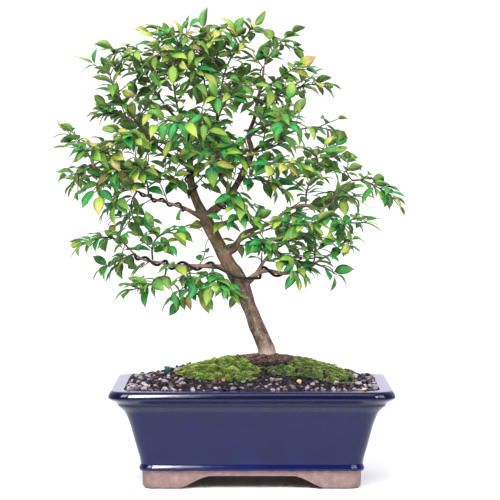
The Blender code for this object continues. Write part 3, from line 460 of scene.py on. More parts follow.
# Young or turning leaves gather here: x, z, reach, least age
YOUNG_PLACES = (
    (-88, 227, 20, 0.45), (-82, 268, 14, 0.35), (38, 236, 20, 0.5), (-22, 314, 12, 0.5),
    (-11, 197, 10, 0.35), (-95, 292, 14, 0.4), (-103, 240, 14, 0.35), (52, 300, 22, 0.5),
    (-55, 312, 12, 0.35), (-14, 338, 24, 0.55), (-32, 319, 6, 0.85), (-60, 330, 16, 0.45),
)
YOUNG_SHARE = 0.3
ODD_AGE_SHARES = (0.015, 0.2)
# A leaf's tint from its lowest to its highest and likeliest value, and what the crown's height adds
TINT = ((0.02, 0.1), (0.94, 0.12), (0.36, 0.18))
TINT_HEIGHTS = (150, 300)

# Training wire
WIRE_POINTS_PER_TURN = 8
WIRE_FINE_STEPS = 8
WIRE_SIDES = 12
WIRE_SMOOTHING = 4
THICK_WIRE = 1.0
THIN_WIRE = 0.75
WIRE_GAP = 0.4
WIRE_SEAT = -0.1


def load_frame():
    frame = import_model()
    low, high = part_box("pot")
    centre = (low + high) / 2
    centre.z = 0.0
    return frame, centre


def limited(value):
    """The value, kept between 0 and 1."""
    return min(1.0, max(0.0, value))


def add_object(name, builder, materials, centre, smooth=True):
    """Makes a piece that rides on the root from a builder's millimetre points."""
    mesh = bpy.data.meshes.new(name)
    mesh.from_pydata([centre + point * MM for point in builder.points], [], builder.faces)
    for made in materials:
        mesh.materials.append(made)
    mesh.polygons.foreach_set("material_index", builder.slots)
    mesh.polygons.foreach_set("use_smooth", [smooth] * len(builder.faces))
    shade = mesh.color_attributes.new("shade", "FLOAT_COLOR", "POINT")
    shade.data.foreach_set("color", [value for row in builder.shades for value in row])
    under = mesh.attributes.new("under", "FLOAT", "FACE")
    under.data.foreach_set("value", builder.unders)
    mesh.update()
    item = bpy.data.objects.new(name, mesh)
    bpy.context.scene.collection.objects.link(item)
    return item


def finish_piece(item, slot, *nodes):
    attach(item, "root")
    if nodes:
        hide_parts(*nodes)
    return item


class Builder:
    """Collects points and faces of one piece, with a shade of four numbers for each point."""

    def __init__(self):
        self.points = []
        self.faces = []
        self.slots = []
        self.shades = []
        self.unders = []

    def add(self, shape, slot=0, shade=(0.0, 0.0, 0.0, 0.0), shades=None, unders=None):
        points, faces = shape
        start = len(self.points)
        self.points += [Vector(point) for point in points]
        self.faces += [tuple(start + index for index in face) for face in faces]
        self.slots += [slot] * len(faces)
        self.shades += shades if shades else [shade] * len(points)
        self.unders += unders if unders else [0.0] * len(faces)


def apply_modifiers(item):
    bpy.context.view_layer.update()
    evaluated = item.evaluated_get(bpy.context.evaluated_depsgraph_get())
    mesh = bpy.data.meshes.new_from_object(evaluated)
    item.modifiers.clear()
    item.data = mesh


def cut(item, shape, centre):
    builder = Builder()
    builder.add(shape)
    cutter = add_object("cutter", builder, [], centre)
    step = item.modifiers.new("cut", "BOOLEAN")
    step.operation = "DIFFERENCE"
    step.object = cutter
    apply_modifiers(item)
    bpy.data.objects.remove(cutter, do_unlink=True)


def rounded_rectangle(half_x, half_y, radius, side_steps=(1, 1), corner_steps=CORNER_STEPS):
    """Counter-clockwise outline whose corners are arcs and whose sides have the given steps."""
    corners = ((1, 1, 0), (-1, 1, 90), (-1, -1, 180), (1, -1, 270))
    outline = []
    for index, (sign_x, sign_y, start) in enumerate(corners):
        centre = Vector((sign_x * (half_x - radius), sign_y * (half_y - radius)))
        for step in range(corner_steps + 1):
            angle = math.radians(start + 90 * step / corner_steps)
            outline.append(centre + radius * Vector((math.cos(angle), math.sin(angle))))
        following = corners[(index + 1) % 4]
        next_centre = Vector((following[0] * (half_x - radius), following[1] * (half_y - radius)))
        angle = math.radians(following[2])
        side_end = next_centre + radius * Vector((math.cos(angle), math.sin(angle)))
        steps = side_steps[index % 2]
        outline += [outline[-1].lerp(side_end, step / steps) for step in range(1, steps)]
    return outline


def pot_ring(inset, height, side_steps=(1, 1), corner_steps=CORNER_STEPS):
    outline = rounded_rectangle(
        RIM_LENGTH / 2 - inset, RIM_DEPTH / 2 - inset, RIM_CORNER - CORNER_SHRINK * inset,
        side_steps, corner_steps
    )
    return [(point.x, point.y, height) for point in outline]


def loft(rings):
    """Closed solid through rings of equal count, with a flat cap at each end."""
    count = len(rings[0])
    points = [point for ring in rings for point in ring]
    faces = [tuple(reversed(range(count)))]
    for low in range(0, (len(rings) - 1) * count, count):
        for index in range(count):
            after = (index + 1) % count
            faces.append((low + index, low + after, low + count + after, low + count + index))
    faces.append(tuple(range(len(points) - count, len(points))))
    return points, faces


def smooth_path(rows, steps):
    """Points and radii along a smooth curve through the rows of x, y, z, radius."""
    rows = [Vector(row) for row in rows]
    ends = [rows[0] * 2 - rows[1]] + rows + [rows[-1] * 2 - rows[-2]]
    path = []
    for before, start, end, after in zip(ends, ends[1:], ends[2:], ends[3:]):
        for step in range(steps):
            t = step / steps
            path.append(0.5 * (
                2 * start + (end - before) * t + (2 * before - 5 * start + 4 * end - after) * t * t
                + (3 * start - 3 * end + after - before) * t ** 3
            ))
    path.append(rows[-1])
    return [row.to_3d() for row in path], [row.w for row in path]


def smooth_line(points, steps):
    """Points along a smooth curve through plain points."""
    return smooth_path([(*point, 0.0) for point in points], steps)[0]


def tapered(start, end, count):
    return [start + (end - start) * index / count for index in range(count + 1)]


def directions(points):
    """Unit tangent and two steady cross directions at each point."""
    frames = []
    across = None
    for index in range(len(points)):
        before = points[max(index - 1, 0)]
        after = points[min(index + 1, len(points) - 1)]
        along = (after - before).normalized()
        guide = across if across else along.orthogonal()
        across = (guide - along * guide.dot(along)).normalized()
        frames.append((along, across, along.cross(across)))
    return frames


def tube(points, radii, sides, swell=None):
    """Closed round tube along the points, whose radius may swell from place to place."""
    rings = []
    for point, radius, (_, across, up) in zip(points, radii, directions(points)):
        ring = []
        for side in range(sides):
            angle = math.tau * side / sides
            outward = math.cos(angle) * across + math.sin(angle) * up
            ring.append(point + outward * (swell(point, outward, radius) if swell else radius))
        rings.append(ring)
    return loft(rings)


def tree_of(shape):
    points, faces = shape
    return BVHTree.FromPolygons([Vector(point) for point in points], faces)


class Space:
    """Remembers every placed shape by cells, and tells whether a new one would touch them."""

    def __init__(self):
        self.cells = {}

    @staticmethod
    def box(shape):
        points = shape[0]
        low = Vector(min(point[axis] for point in points) for axis in range(3))
        high = Vector(max(point[axis] for point in points) for axis in range(3))
        return low, high

    @staticmethod
    def keys(low, high):
        spans = [range(math.floor(low[axis] / CELL), math.floor(high[axis] / CELL) + 1) for axis in range(3)]
        return [(x, y, z) for x in spans[0] for y in spans[1] for z in spans[2]]

    def add(self, shape, owner=None):
        low, high = self.box(shape)
        entry = (low, high, tree_of(shape), owner)
        for key in self.keys(low, high):
            self.cells.setdefault(key, []).append(entry)

    def is_free(self, shape, owner=None):
        low, high = self.box(shape)
        tree = None
        seen = set()
        for key in self.keys(low, high):
            for entry in self.cells.get(key, ()):
                kept_low, kept_high, kept_tree, kept_owner = entry
                if id(entry) in seen or (owner is not None and owner == kept_owner):
                    continue
                seen.add(id(entry))
                if any(low[axis] > kept_high[axis] or high[axis] < kept_low[axis] for axis in range(3)):
                    continue
                tree = tree or tree_of(shape)
                if tree.overlap(kept_tree):
                    return False
        return True


def test_blade(base, along, face_up, length, width, thickness, trim=0.0):
    """The model's thin arched blade; trim leaves the root out of a test shape."""
    across = face_up.cross(along).normalized()
    face_up = along.cross(across).normalized()

    def place(share, side, height):
        return base + along * (share * length) + across * (side * width / 2) + face_up * height

    points = [place(trim, 0.0, 0.0)]
    for share, side, rise, sag in BLADE_EDGE:
        points.append(place(share, side, rise - sag * BLADE_SAG * length))
    edge = len(points)
    points += [place(BLADE_THICKEST, 0.0, side * thickness / 2) for side in (1, -1)]
    faces = []
    for index in range(edge):
        after = (index + 1) % edge
        faces.append((index, after, edge))
        faces.append((after, index, edge + 1))
    return points, faces


def bark_surface(frame, centre):
    """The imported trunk, in millimetres from the pot's centre."""
    mesh = frame["nodes"]["trunk"].data
    points = [(vertex.co - centre) / MM for vertex in mesh.vertices]
    return BVHTree.FromPolygons(points, [tuple(face.vertices) for face in mesh.polygons])


def is_clear(bark, point):
    nearest, normal, _, distance = bark.find_nearest(point)
    return distance >= GAP and (point - nearest).dot(normal) > 0


def seated_path(rows, bark):
    """A few points along the spray's smooth curve, starting just clear of the bark that carries it."""
    points = smooth_line(rows, SPRAY_FINE_STEPS)
    start = max([0] + [index for index, point in enumerate(points) if not is_clear(bark, point)])
    while True:
        steps = len(points) - 1 - start
        knots = max(2, round(steps / SPRAY_FINE_STEPS))
        path = [points[start + round(steps * knot / knots)] for knot in range(knots + 1)]
        root_end = tube(path, [SPRAY_ROOT_RADIUS] * len(path), SPRAY_SIDES)[0][:SPRAY_SIDES]
        if all(is_clear(bark, corner) for corner in root_end):
            return path
        start += 1


def point_at(path, distance):
    for start, end in zip(path, path[1:]):
        span = (end - start).length
        if distance <= span:
            return start.lerp(end, distance / span), (end - start).normalized()
        distance -= span
    return path[-1], (path[-1] - path[-2]).normalized()


def length_of(path):
    return sum((end - start).length for start, end in zip(path, path[1:]))


def scattered(draw, low, high):
    return Vector([draw.uniform(low, high) for _ in range(3)])


def leaf_pose(draw, centre, along, turn, side, kind):
    """Direction and upper face of a leaf: side is -1 or 1 in a pair, and 0 at a stem's tip."""
    outward = Vector((centre.x - CANOPY_MIDDLE_X, centre.y, 0)).normalized()
    sideways = along.cross(UP).normalized()
    lift = sideways.cross(along).normalized()
    spread = math.cos(turn) * sideways + math.sin(turn) * lift
    direction = along * draw.uniform(*kind.forward) + side * spread - UP * draw.uniform(*kind.droop)
    direction += outward * draw.uniform(*LEAF_OUTWARD)
    if side == 0:
        direction = along + direction * TIP_LEAF_TURN
    direction.normalize()
    face_up = UP * draw.uniform(*kind.face_upward) + outward * draw.uniform(*kind.face_outward)
    return direction, face_up + scattered(draw, *kind.face_wobble)


def in_open_place(point):
    return any(abs(point.x - x) < wide and abs(point.z - z) < high for x, z, wide, high in OPEN_PLACES)


def grow_leaf(draw, space, stem, centre, along, turn, side, kind):
    """Tries poses until a leaf is clear of everything but its own stem; returns its measures or None."""
    if kind is EXTRA_LEAF and in_open_place(centre):
        return None
    length = kind.length * draw.uniform(1 - kind.length_spread, 1 + kind.length_spread)
    room = kind.clearance
    for _ in range(kind.tries):
        width = length * LEAF_WIDTH_RATIO
        direction, face_up = leaf_pose(draw, centre, along, turn, side, kind)
        pose = (centre + direction * LEAF_SEAT, direction, face_up)
        test = test_blade(*pose, length + room, width + 2 * room, LEAF_THICKNESS + 2 * room, LEAF_ROOT_SHARE)
        if space.is_free(test, stem):
            space.add(test_blade(*pose, length, width, LEAF_THICKNESS))
            return (*pose, length * FINE_LENGTH_SHARE, width)
        length *= LEAF_SHRINK
    return None


def bent_twig(draw, start, heading, reach):
    """Three points of a twig that sags or rises a little."""
    sag = UP * draw.uniform(*SHOOT_SAG)
    return [start, start + heading * reach * 0.5, start + (heading + sag) * reach]


def has_room(space, twig, heading, bare, radius=SHOOT_RADIUS):
    """Whether a twig touches nothing past its bare start."""
    return space.is_free(tube([twig[0] + heading * bare] + twig[1:], [radius] * 3, SPRAY_SIDES))


def shoot_tube(path):
    return tube(path, [SHOOT_RADIUS, SHOOT_RADIUS, SHOOT_TIP_RADIUS], SPRAY_SIDES)


def grow_shoot(draw, space, path, share, side, length=SHOOT_LENGTH):
    """A side shoot that leaves the stem sideways; returns its path or None."""
    centre, along = point_at(path, length_of(path) * share)
    sideways = along.cross(UP).normalized() * side
    for _ in range(SHOOT_TRIES):
        heading = along * draw.uniform(*SHOOT_FORWARD) + sideways + UP * draw.uniform(*SHOOT_RISE)
        heading.normalize()
        reach = length * draw.uniform(*SHOOT_REACH)
        shoot = bent_twig(draw, centre, heading, reach)
        if has_room(space, shoot, heading, BARE_END, SHOOT_RADIUS + SHOOT_CLEARANCE):
            return shoot
    return None


def grow_leaves(draw, space, stem, path, kind, first, tip=True):
    """Opposite pairs along the stem and one leaf at its tip: rows of measures and how young each is."""
    reach = length_of(path)
    leaves = []
    distance = first * draw.uniform(*FIRST_LEAF_SPREAD)
    turn = draw.uniform(*FIRST_TURN)
    while distance < reach - BARE_END:
        centre, along = point_at(path, distance)
        for side in (-1, 1):
            leaves.append((grow_leaf(draw, space, stem, centre, along, turn, side, kind), distance / reach))
        distance += kind.spacing * draw.uniform(*PAIR_SPREAD)
        turn = PAIR_TURN - turn
    if tip:
        centre, along = point_at(path, reach - TIP_SEAT)
        leaves.append((grow_leaf(draw, space, stem, centre, along, turn, 0, kind), TIP_YOUTH))
    return [(grown, youth) for grown, youth in leaves if grown]


def grow_model_sprays(space, bark):
    """Repeats the model's own stems, shoots and leaves: name to paths and leaves."""
    sprays = {name: {"paths": [seated_path(rows, bark)], "leaves": []} for name, rows in SPRAYS.items()}
    for name, spray in sprays.items():
        path = spray["paths"][0]
        radii = tapered(SPRAY_ROOT_RADIUS, SPRAY_TIP_RADIUS, len(path) - 1)
        space.add(tube(path, radii, SPRAY_SIDES), (name, 0))
    draw = random.Random(LEAF_SEED)
    for name, spray in sprays.items():
        shoot = grow_shoot(draw, space, spray["paths"][0], SHOOT_SHARE, draw.choice((-1, 1)))
        if shoot:
            spray["paths"].append(shoot)
            space.add(shoot_tube(shoot), (name, 1))
    for name, spray in sprays.items():
        for index, path in enumerate(spray["paths"]):
            spray["leaves"] += grow_leaves(draw, space, (name, index), path, MODEL_LEAF, LEAF_FIRST)
    return sprays


def add_leafy_twig(draw, space, spray, path, stem, first=EXTRA_SHOOT_FIRST):
    """Keeps a twig if at least one leaf finds room on it; returns its leaves."""
    space.add(shoot_tube(path), stem)
    leaves = grow_leaves(draw, space, stem, path, EXTRA_LEAF, first)
    if leaves:
        spray["paths"].append(path)
        spray["leaves"] += leaves
    return leaves


def grow_extra_leaves(space, sprays):
    """Fills the stems with the leaves and small shoots that the model leaves out."""
    draw = random.Random(EXTRA_SEED)
    for name, spray in sprays.items():
        for index, path in enumerate(list(spray["paths"])):
            spray["leaves"] += grow_leaves(
                draw, space, (name, index), path, EXTRA_LEAF, EXTRA_FIRST, tip=False
            )
    for name, spray in sprays.items():
        for share in EXTRA_SHOOT_SHARES:
            for side in (-1, 1):
                shoot = grow_shoot(draw, space, spray["paths"][0], share, side, EXTRA_SHOOT_LENGTH)
                if shoot:
                    add_leafy_twig(draw, space, spray, shoot, (name, len(spray["paths"])))


def grow_twig(draw, space, start, along, angle, radius):
    """A twig that leaves a branch all round it; returns its path or None."""
    across = along.orthogonal().normalized()
    outward = math.cos(angle) * across + math.sin(angle) * along.cross(across)
    heading = outward + along * draw.uniform(*TWIG_FORWARD) + UP * draw.uniform(*TWIG_RISE)
    heading.normalize()
    reach = draw.uniform(*TWIG_LENGTH)
    twig = bent_twig(draw, start, heading, reach)
    bare = radius / max(0.4, heading.dot(outward)) + 1.0
    if bare < reach * TWIG_BARE_SHARE and has_room(space, twig, heading, bare):
        return twig
    return None


def grow_branch_twigs(space):
    """Small leafy twigs straight on each branch."""
    draw = random.Random(EXTRA_SEED + 1)
    twigs = {}
    for name, rows in BRANCHES.items():
        if name == "trunk":
            continue
        points, radii = smooth_path(rows, TWIG_STEPS)
        frames = directions(points)
        spray = {"paths": [], "leaves": []}
        first = round(TWIG_START.get(name, TWIG_START_OTHERS) * len(points))
        travelled = TWIG_SPACING
        angle = draw.uniform(0, math.tau)
        for index in range(max(1, first), len(points)):
            travelled += (points[index] - points[index - 1]).length
            if travelled < TWIG_SPACING:
                continue
            travelled = 0.0
            angle += GOLDEN_ANGLE
            radius = radii[index]
            twig = grow_twig(draw, space, points[index], frames[index][0], angle, radius)
            if twig:
                add_leafy_twig(draw, space, spray, twig, ("on_" + name, index), radius + EXTRA_FIRST)
        if spray["paths"]:
            twigs[name] = spray
    return twigs


def grow_dense_regions(space, sprays, twigs):
    """Sends small leafy twigs from the nearest stem or branch into the empty places of the dense crown."""
    draw = random.Random(EXTRA_SEED + 3)
    holders = [*sprays.values(), *twigs.values()]
    knots = [(point, holder) for holder in holders for path in holder["paths"]
             for point in smooth_line(path, TWIG_STEPS)]
    bases = [grown[0] for holder in holders for grown, _ in holder["leaves"]]
    count = 0
    for middle, reach, tries in DENSE_REGIONS:
        for _ in range(tries):
            away = scattered(draw, -1, 1)
            goal = Vector(middle) + away * Vector(reach)
            if away.length > 1 or min((base - goal).length for base in bases) < DENSE_ROOM:
                continue
            start, holder = min(knots, key=lambda knot: (knot[0] - goal).length)
            span = (goal - start).length
            if not DENSE_REACH[0] < span < DENSE_REACH[1]:
                continue
            bow = scattered(draw, -DENSE_BOW, DENSE_BOW) * span
            twig = [start, start.lerp(goal, 0.5) + bow, goal]
            if not has_room(space, twig, (goal - start).normalized(), BARE_END):
                continue
            count += 1
            leaves = add_leafy_twig(draw, space, holder, twig, ("dense", count))
            bases += [grown[0] for grown, _ in leaves]
            if leaves:
                knots += [(point, holder) for point in smooth_line(twig, TWIG_STEPS)]


def age_of(draw, base, youth):
    """0 for a grown leaf up to 1 for the palest young one."""
    age = 0.2 * draw.random() + max(0.0, youth - 0.8) * draw.uniform(0.0, 1.1)
    for x, z, reach, least in YOUNG_PLACES:
        if math.hypot(base.x - x, base.z - z) < reach and draw.random() < YOUNG_SHARE:
            age = max(age, draw.uniform(least, 0.9))
    if draw.random() < ODD_AGE_SHARES[youth > 1]:
        age = draw.uniform(0.5, 1.0)
    return min(1.0, age)


def fine_blade(draw, grown):
    """A folded, arched blade with a short stalk.

    Returns its shape, each point's place along and across it, and which faces are undersides.
    """
    base, along, face_up, length, width = grown
    width *= draw.uniform(*FINE_WIDTH_SHARE)
    across = face_up.cross(along).normalized()
    face_up = along.cross(across).normalized()
    fold = math.tan(math.radians(draw.uniform(*FINE_FOLD)))
    sag = draw.uniform(*FINE_SAG)
    wave = draw.uniform(*FINE_WAVE) * length
    phase = draw.uniform(0, math.tau)
    bend = draw.uniform(*FINE_BEND) * length
    twist = draw.uniform(*FINE_TWIST)
    rings = []
    places = []
    for share, half in BLADE_OUTLINE:
        ring = []
        half_width = half * width / 2
        middle = base + along * (share * length * (1 - 0.4 * sag * share)) + across * (bend * share * share)
        middle += face_up * (length * (FINE_ARCH * math.sin(math.pi * share) - sag * share * share))
        turned = across * math.cos(twist * share) + face_up * math.sin(twist * share)
        raised = face_up * math.cos(twist * share) - across * math.sin(twist * share)
        for side, facing in BLADE_SECTION:
            height = fold * half_width * abs(side) - 0.2 * half_width * side * side
            height += wave * abs(side) * math.sin(3 * math.pi * share + phase + side) * min(1, half * 2)
            height += facing * FINE_THICKNESS / 2 * (1.2 - abs(side))
            ring.append(middle + turned * (side * half_width) + raised * height)
            places.append((share, 0.5 + side / 2))
        rings.append(ring)
    shape = loft(rings)
    sides = len(BLADE_SECTION)
    ring_unders = [0.0 if index < 4 else 1.0 for index in range(sides)]
    unders = [0.0] + ring_unders * (len(rings) - 1) + [0.0]
    return shape, places, unders


def twig_tube(path, start_radius, end_radius):
    points = smooth_line(path, TWIG_STEPS)
    return tube(points, tapered(start_radius, end_radius, len(points) - 1), TWIG_SIDES)


def build_spray(name, spray, materials, centre, draw, node=None):
    builder = Builder()
    for index, path in enumerate(spray["paths"]):
        radii = FINE_TWIG_RADII if index else FINE_STEM_RADII
        builder.add(twig_tube(path, *radii), slot=1, shade=(0.0, 0.0, draw.random(), 0.0))
    for grown, youth in spray["leaves"]:
        base = grown[0]
        age = age_of(draw, base, youth)
        raised = limited((base.z - TINT_HEIGHTS[0]) / (TINT_HEIGHTS[1] - TINT_HEIGHTS[0]))
        tint = draw.triangular(*(least + more * raised for least, more in TINT))
        shape, places, unders = fine_blade(draw, grown)
        shades = [(along, across, tint, age) for along, across in places]
        builder.add(shape, shades=shades, unders=unders)
    item = add_object("leaves_" + name, builder, materials, centre)
    finish_piece(item, "leaf", *([node] if node else []))


def build_foliage(frame, centre, materials):
    space = Space()
    bark = bark_surface(frame, centre)
    for name, rows in BRANCHES.items():
        points, radii = smooth_path(rows, 1)
        sides = TEST_SIDES.get(name, THIN_TEST_SIDES)
        space.add(tube(points, radii, sides))
    for route, radius in wire_routes(WIRE_GAP).values():
        space.add(tube(route, [radius] * len(route), THIN_TEST_SIDES))
    sprays = grow_model_sprays(space, bark)
    grow_extra_leaves(space, sprays)
    twigs = grow_branch_twigs(space)
    grow_dense_regions(space, sprays, twigs)
    draw = random.Random(EXTRA_SEED + 2)
    for name, spray in sprays.items():
        build_spray(name, spray, materials, centre, draw, "spray_" + name)
    for name, spray in twigs.items():
        build_spray("on_" + name, spray, materials, centre, draw)


def bark_tube(rows, seed):
    """A branch whose radius swells and dips a little, as grown wood does."""
    def swell(point, outward, radius):
        lump = noise.noise(point / BARK_LUMP_SIZE + outward * 0.8 + Vector((seed, 0, 0)))
        return radius * (1 + BARK_RELIEF * lump * 2) + BARK_SWELL

    points, radii = smooth_path(rows, BARK_STEPS)
    return tube(points, radii, BARK_SIDES, swell)


def build_bark(centre, material):
    builder = Builder()
    for seed, rows in enumerate(BRANCHES.values()):
        builder.add(bark_tube(rows, seed * 3.7))
    item = add_object("bark", builder, [material], centre)
    remesh = item.modifiers.new("remesh", "REMESH")
    remesh.mode = "VOXEL"
    remesh.voxel_size = BARK_VOXEL * MM
    remesh.use_smooth_shade = True
    smooth = item.modifiers.new("smooth", "SMOOTH")
    smooth.factor = 0.5
    smooth.iterations = BARK_SMOOTHING
    apply_modifiers(item)
    finish_piece(item, "bark", "trunk")


def wound(branch, start, end, turns, first_angle, wire, gap):
    """Points of a wire wound round a branch between two shares of its length."""
    points, radii = smooth_path(BRANCHES[branch], WIRE_FINE_STEPS)
    frames = directions(points)
    count = round(abs(turns) * WIRE_POINTS_PER_TURN)
    route = []
    for step in range(count + 1):
        t = step / count
        place = (start + (end - start) * t) * (len(points) - 1)
        low = min(int(place), len(points) - 2)
        part = place - low
        middle = points[low].lerp(points[low + 1], part)
        _, across, up = frames[low]
        around = (radii[low] + wire + gap) / math.cos(math.pi / WIRE_POINTS_PER_TURN)
        angle = first_angle + math.tau * turns * t
        route.append(middle + around * (math.cos(angle) * across + math.sin(angle) * up))
    return route


def wire_routes(gap):
    front_crossing = [Vector(row) for row in ((-21, -7.9, 155), (-14.5, -9.3, 152), (-8, -9.3, 149.6))]
    low_wire = (
        wound("low_left", 0.93, 0.19, -4, 1.0, THICK_WIRE, gap) + front_crossing
        + wound("low_right", 0.18, 0.44, 1.5, 3.6, THICK_WIRE, gap)
    )
    return {
        "low": (low_wire, THICK_WIRE),
        "left": (wound("middle_left", 0.93, 0.24, -3.5, 1.2, THIN_WIRE, gap), THIN_WIRE),
        "left_leader": (wound("left_leader", 0.18, 0.36, 1.5, 2.0, THIN_WIRE, gap), THIN_WIRE),
        "right_leader": (wound("right_leader", 0.145, 0.235, 1.75, 2.0, THIN_WIRE, gap), THIN_WIRE),
    }


def build_wires(centre, material):
    for name, (route, radius) in wire_routes(WIRE_SEAT).items():
        points = smooth_line(route, WIRE_SMOOTHING)
        builder = Builder()
        builder.add(tube(points, [radius] * len(points), WIRE_SIDES))
        item = add_object("wire_" + name, builder, [material], centre)
        finish_piece(item, "black_wire", "training_wire_" + name)


def smooth_profile(rows):
    """The pot's section with soft turns, from the foot up and over the rim to the floor."""
    points, _ = smooth_path([(inset, height, 0.0, 0.0) for inset, height in rows], PROFILE_STEPS)
    return [(point.x, max(0.0, point.y)) for point in points]


def skirt_cutter(cut_start, cut_full, along_x):
    """A smooth arch outline, pushed through the whole pot, that leaves the feet standing."""
    outline = [(cut_start + ARCH_FLARE, -CUTTER_OVERRUN)]
    for step in range(CUT_STEPS + 1):
        t = step / CUT_STEPS
        smooth = t * t * (3 - 2 * t)
        outline.append((cut_start + (cut_full - cut_start) * t, CUT_HEIGHT * smooth))
    outline += [(-across, height) for across, height in reversed(outline)]
    reach = RIM_LENGTH
    if along_x:
        rings = [[(side * reach, across, height) for across, height in outline] for side in (-1, 1)]
    else:
        rings = [[(across, -side * reach, height) for across, height in outline] for side in (-1, 1)]
    return loft(rings)


def cylinder(x, y, bottom, top, radius, sides):
    rings = []
    for height in (bottom, top):
        angles = [math.tau * step / sides for step in range(sides)]
        rings.append([(x + radius * math.cos(a), y + radius * math.sin(a), height) for a in angles])
    return loft(rings)


def build_pot(centre, material):
    profile = smooth_profile(POT_OUTSIDE + POT_INSIDE)
    builder = Builder()
    builder.add(loft([pot_ring(inset, height) for inset, height in profile]))
    pot = add_object("pot_glazed", builder, [material], centre)
    recess_inset = POT_OUTSIDE[1][0] + SKIRT_THICKNESS
    cut(pot, loft([pot_ring(recess_inset, height) for height in (-CUTTER_OVERRUN, FLOOR_UNDERSIDE)]), centre)
    cut(pot, skirt_cutter(*FRONT_CUT, along_x=False), centre)
    cut(pot, skirt_cutter(*SIDE_CUT, along_x=True), centre)
    for x in (-DRAIN_X, DRAIN_X):
        bottom = FLOOR_UNDERSIDE - CUTTER_OVERRUN
        cut(pot, cylinder(x, 0.0, bottom, FLOOR_TOP + CUTTER_OVERRUN, DRAIN_RADIUS, DRAIN_SIDES), centre)
    pot.data.shade_smooth()
    pot.data.set_sharp_from_angle(angle=SHARP_ANGLE)
    weighted = pot.modifiers.new("weighted", "WEIGHTED_NORMAL")
    weighted.keep_sharp = True
    apply_modifiers(pot)
    finish_piece(pot, "glazed_clay", "pot")


def mound(x, y):
    """Height of the smooth soil surface."""
    reach_x = RIM_LENGTH / 2 - POT_INSIDE[1][0]
    reach_y = RIM_DEPTH / 2 - POT_INSIDE[1][0]
    across = abs(x - TRUNK_FOOT[0] * (1 - abs(x) / reach_x)) / reach_x
    away = (across ** CORNER_POWER + abs(y / reach_y) ** CORNER_POWER) ** (1 / CORNER_POWER)
    return MOUND_EDGE + MOUND_RISE * (1 - min(1.0, away) ** MOUND_POWER)


def ripple(x, y, size, layer):
    """Cloudy noise over the soil, whose lumps are about the given size."""
    return noise.noise(Vector((x / size, y / size, layer)))


def soil_relief(x, y):
    """Small pits and grains on the soil between its stones."""
    return -0.9 + 0.8 * ripple(x, y, 4.0, 0.0) + 0.45 * ripple(x, y, 1.4, 7.0)


def build_soil(centre, material):
    walls = [pot_ring(inset + BED_GAP, height, SOIL_SIDE_STEPS, SOIL_CORNER_STEPS)
             for inset, height in reversed(POT_INSIDE[1:])]
    walls[0] = [(x, y, FLOOR_TOP + GAP) for x, y, _ in walls[0]]
    rings = walls[:]
    edge = walls[-1]
    foot_x, foot_y = TRUNK_FOOT
    least = STUB_RADIUS / max(abs(x - foot_x) for x, _, _ in edge)
    for step in range(SOIL_RINGS + 1):
        share = 1 - (1 - least) * step / SOIL_RINGS
        ring = []
        for x, y, _ in edge:
            ring_x = foot_x + (x - foot_x) * share
            ring_y = foot_y + (y - foot_y) * share
            ring.append((ring_x, ring_y, mound(ring_x, ring_y) + soil_relief(ring_x, ring_y)))
        rings.append(ring)
    builder = Builder()
    builder.add(loft(rings))
    item = add_object("soil_bed", builder, [material], centre)
    finish_piece(item, "grit", "soil")


def stone(draw, middle, size):
    """An angular lump: the hull of a few corners spread over a flattened ball."""
    squash = Vector((draw.uniform(1.0, 1.35), draw.uniform(0.65, 1.0), draw.uniform(0.45, 0.8)))
    turn = Euler((draw.uniform(-0.5, 0.5), draw.uniform(-0.5, 0.5), draw.uniform(0, math.tau)))
    corners = 11 if size > CRUMB_SIZE else 8
    hull = bmesh.new()
    for corner in range(corners):
        height = 1 - 2 * (corner + 0.5) / corners
        angle = GOLDEN_ANGLE * corner + draw.uniform(-0.6, 0.6)
        across = math.sqrt(1 - height * height)
        point = Vector((across * math.cos(angle), across * math.sin(angle), height))
        point = point * size * draw.uniform(0.68, 1.15) * squash
        point.rotate(turn)
        hull.verts.new(middle + point)
    bmesh.ops.convex_hull(hull, input=hull.verts)
    bmesh.ops.delete(hull, geom=[vert for vert in hull.verts if not vert.link_faces], context="VERTS")
    bmesh.ops.recalc_face_normals(hull, faces=hull.faces)
    hull.verts.index_update()
    points = [vert.co.copy() for vert in hull.verts]
    faces = [tuple(vert.index for vert in face.verts) for face in hull.faces]
    hull.free()
    return points, faces


def moss_reaches(x, y):
    """How far a place lies from the middle of each moss patch, as a share of its size."""
    return [math.hypot((x - centre_x) / half_x, (y - centre_y) / half_y)
            for centre_x, centre_y, half_x, half_y, _, _ in MOSS_FINE.values()]


def root_reach(x, y):
    """How far a place lies from the trunk, as a share of the bare bed of root hairs."""
    return math.hypot((x - TRUNK_FOOT[0]) / ROOT_BED[0], (y - TRUNK_FOOT[1]) / ROOT_BED[1])


def under_moss(x, y, size):
    """Whether a stone of this size would poke out of thick moss."""
    for reach, patch in zip(moss_reaches(x, y), MOSS_FINE.values()):
        if reach < 0.9 and (size > CRUMB_SIZE or moss_cover(x, y, patch[-1]) > 0.35):
            return True
    return False


def stoniness(x, y):
    """1 along the rim and towards the pot's ends, where the bigger stones lie; 0 near the trunk."""
    at_rim = 1 - min(1.0, abs(abs(y) - 60) / 14)
    return max(at_rim, limited((abs(x) - 30) / 35))


def stone_cell(x, y):
    return int(x // STONE_CELL), int(y // STONE_CELL)


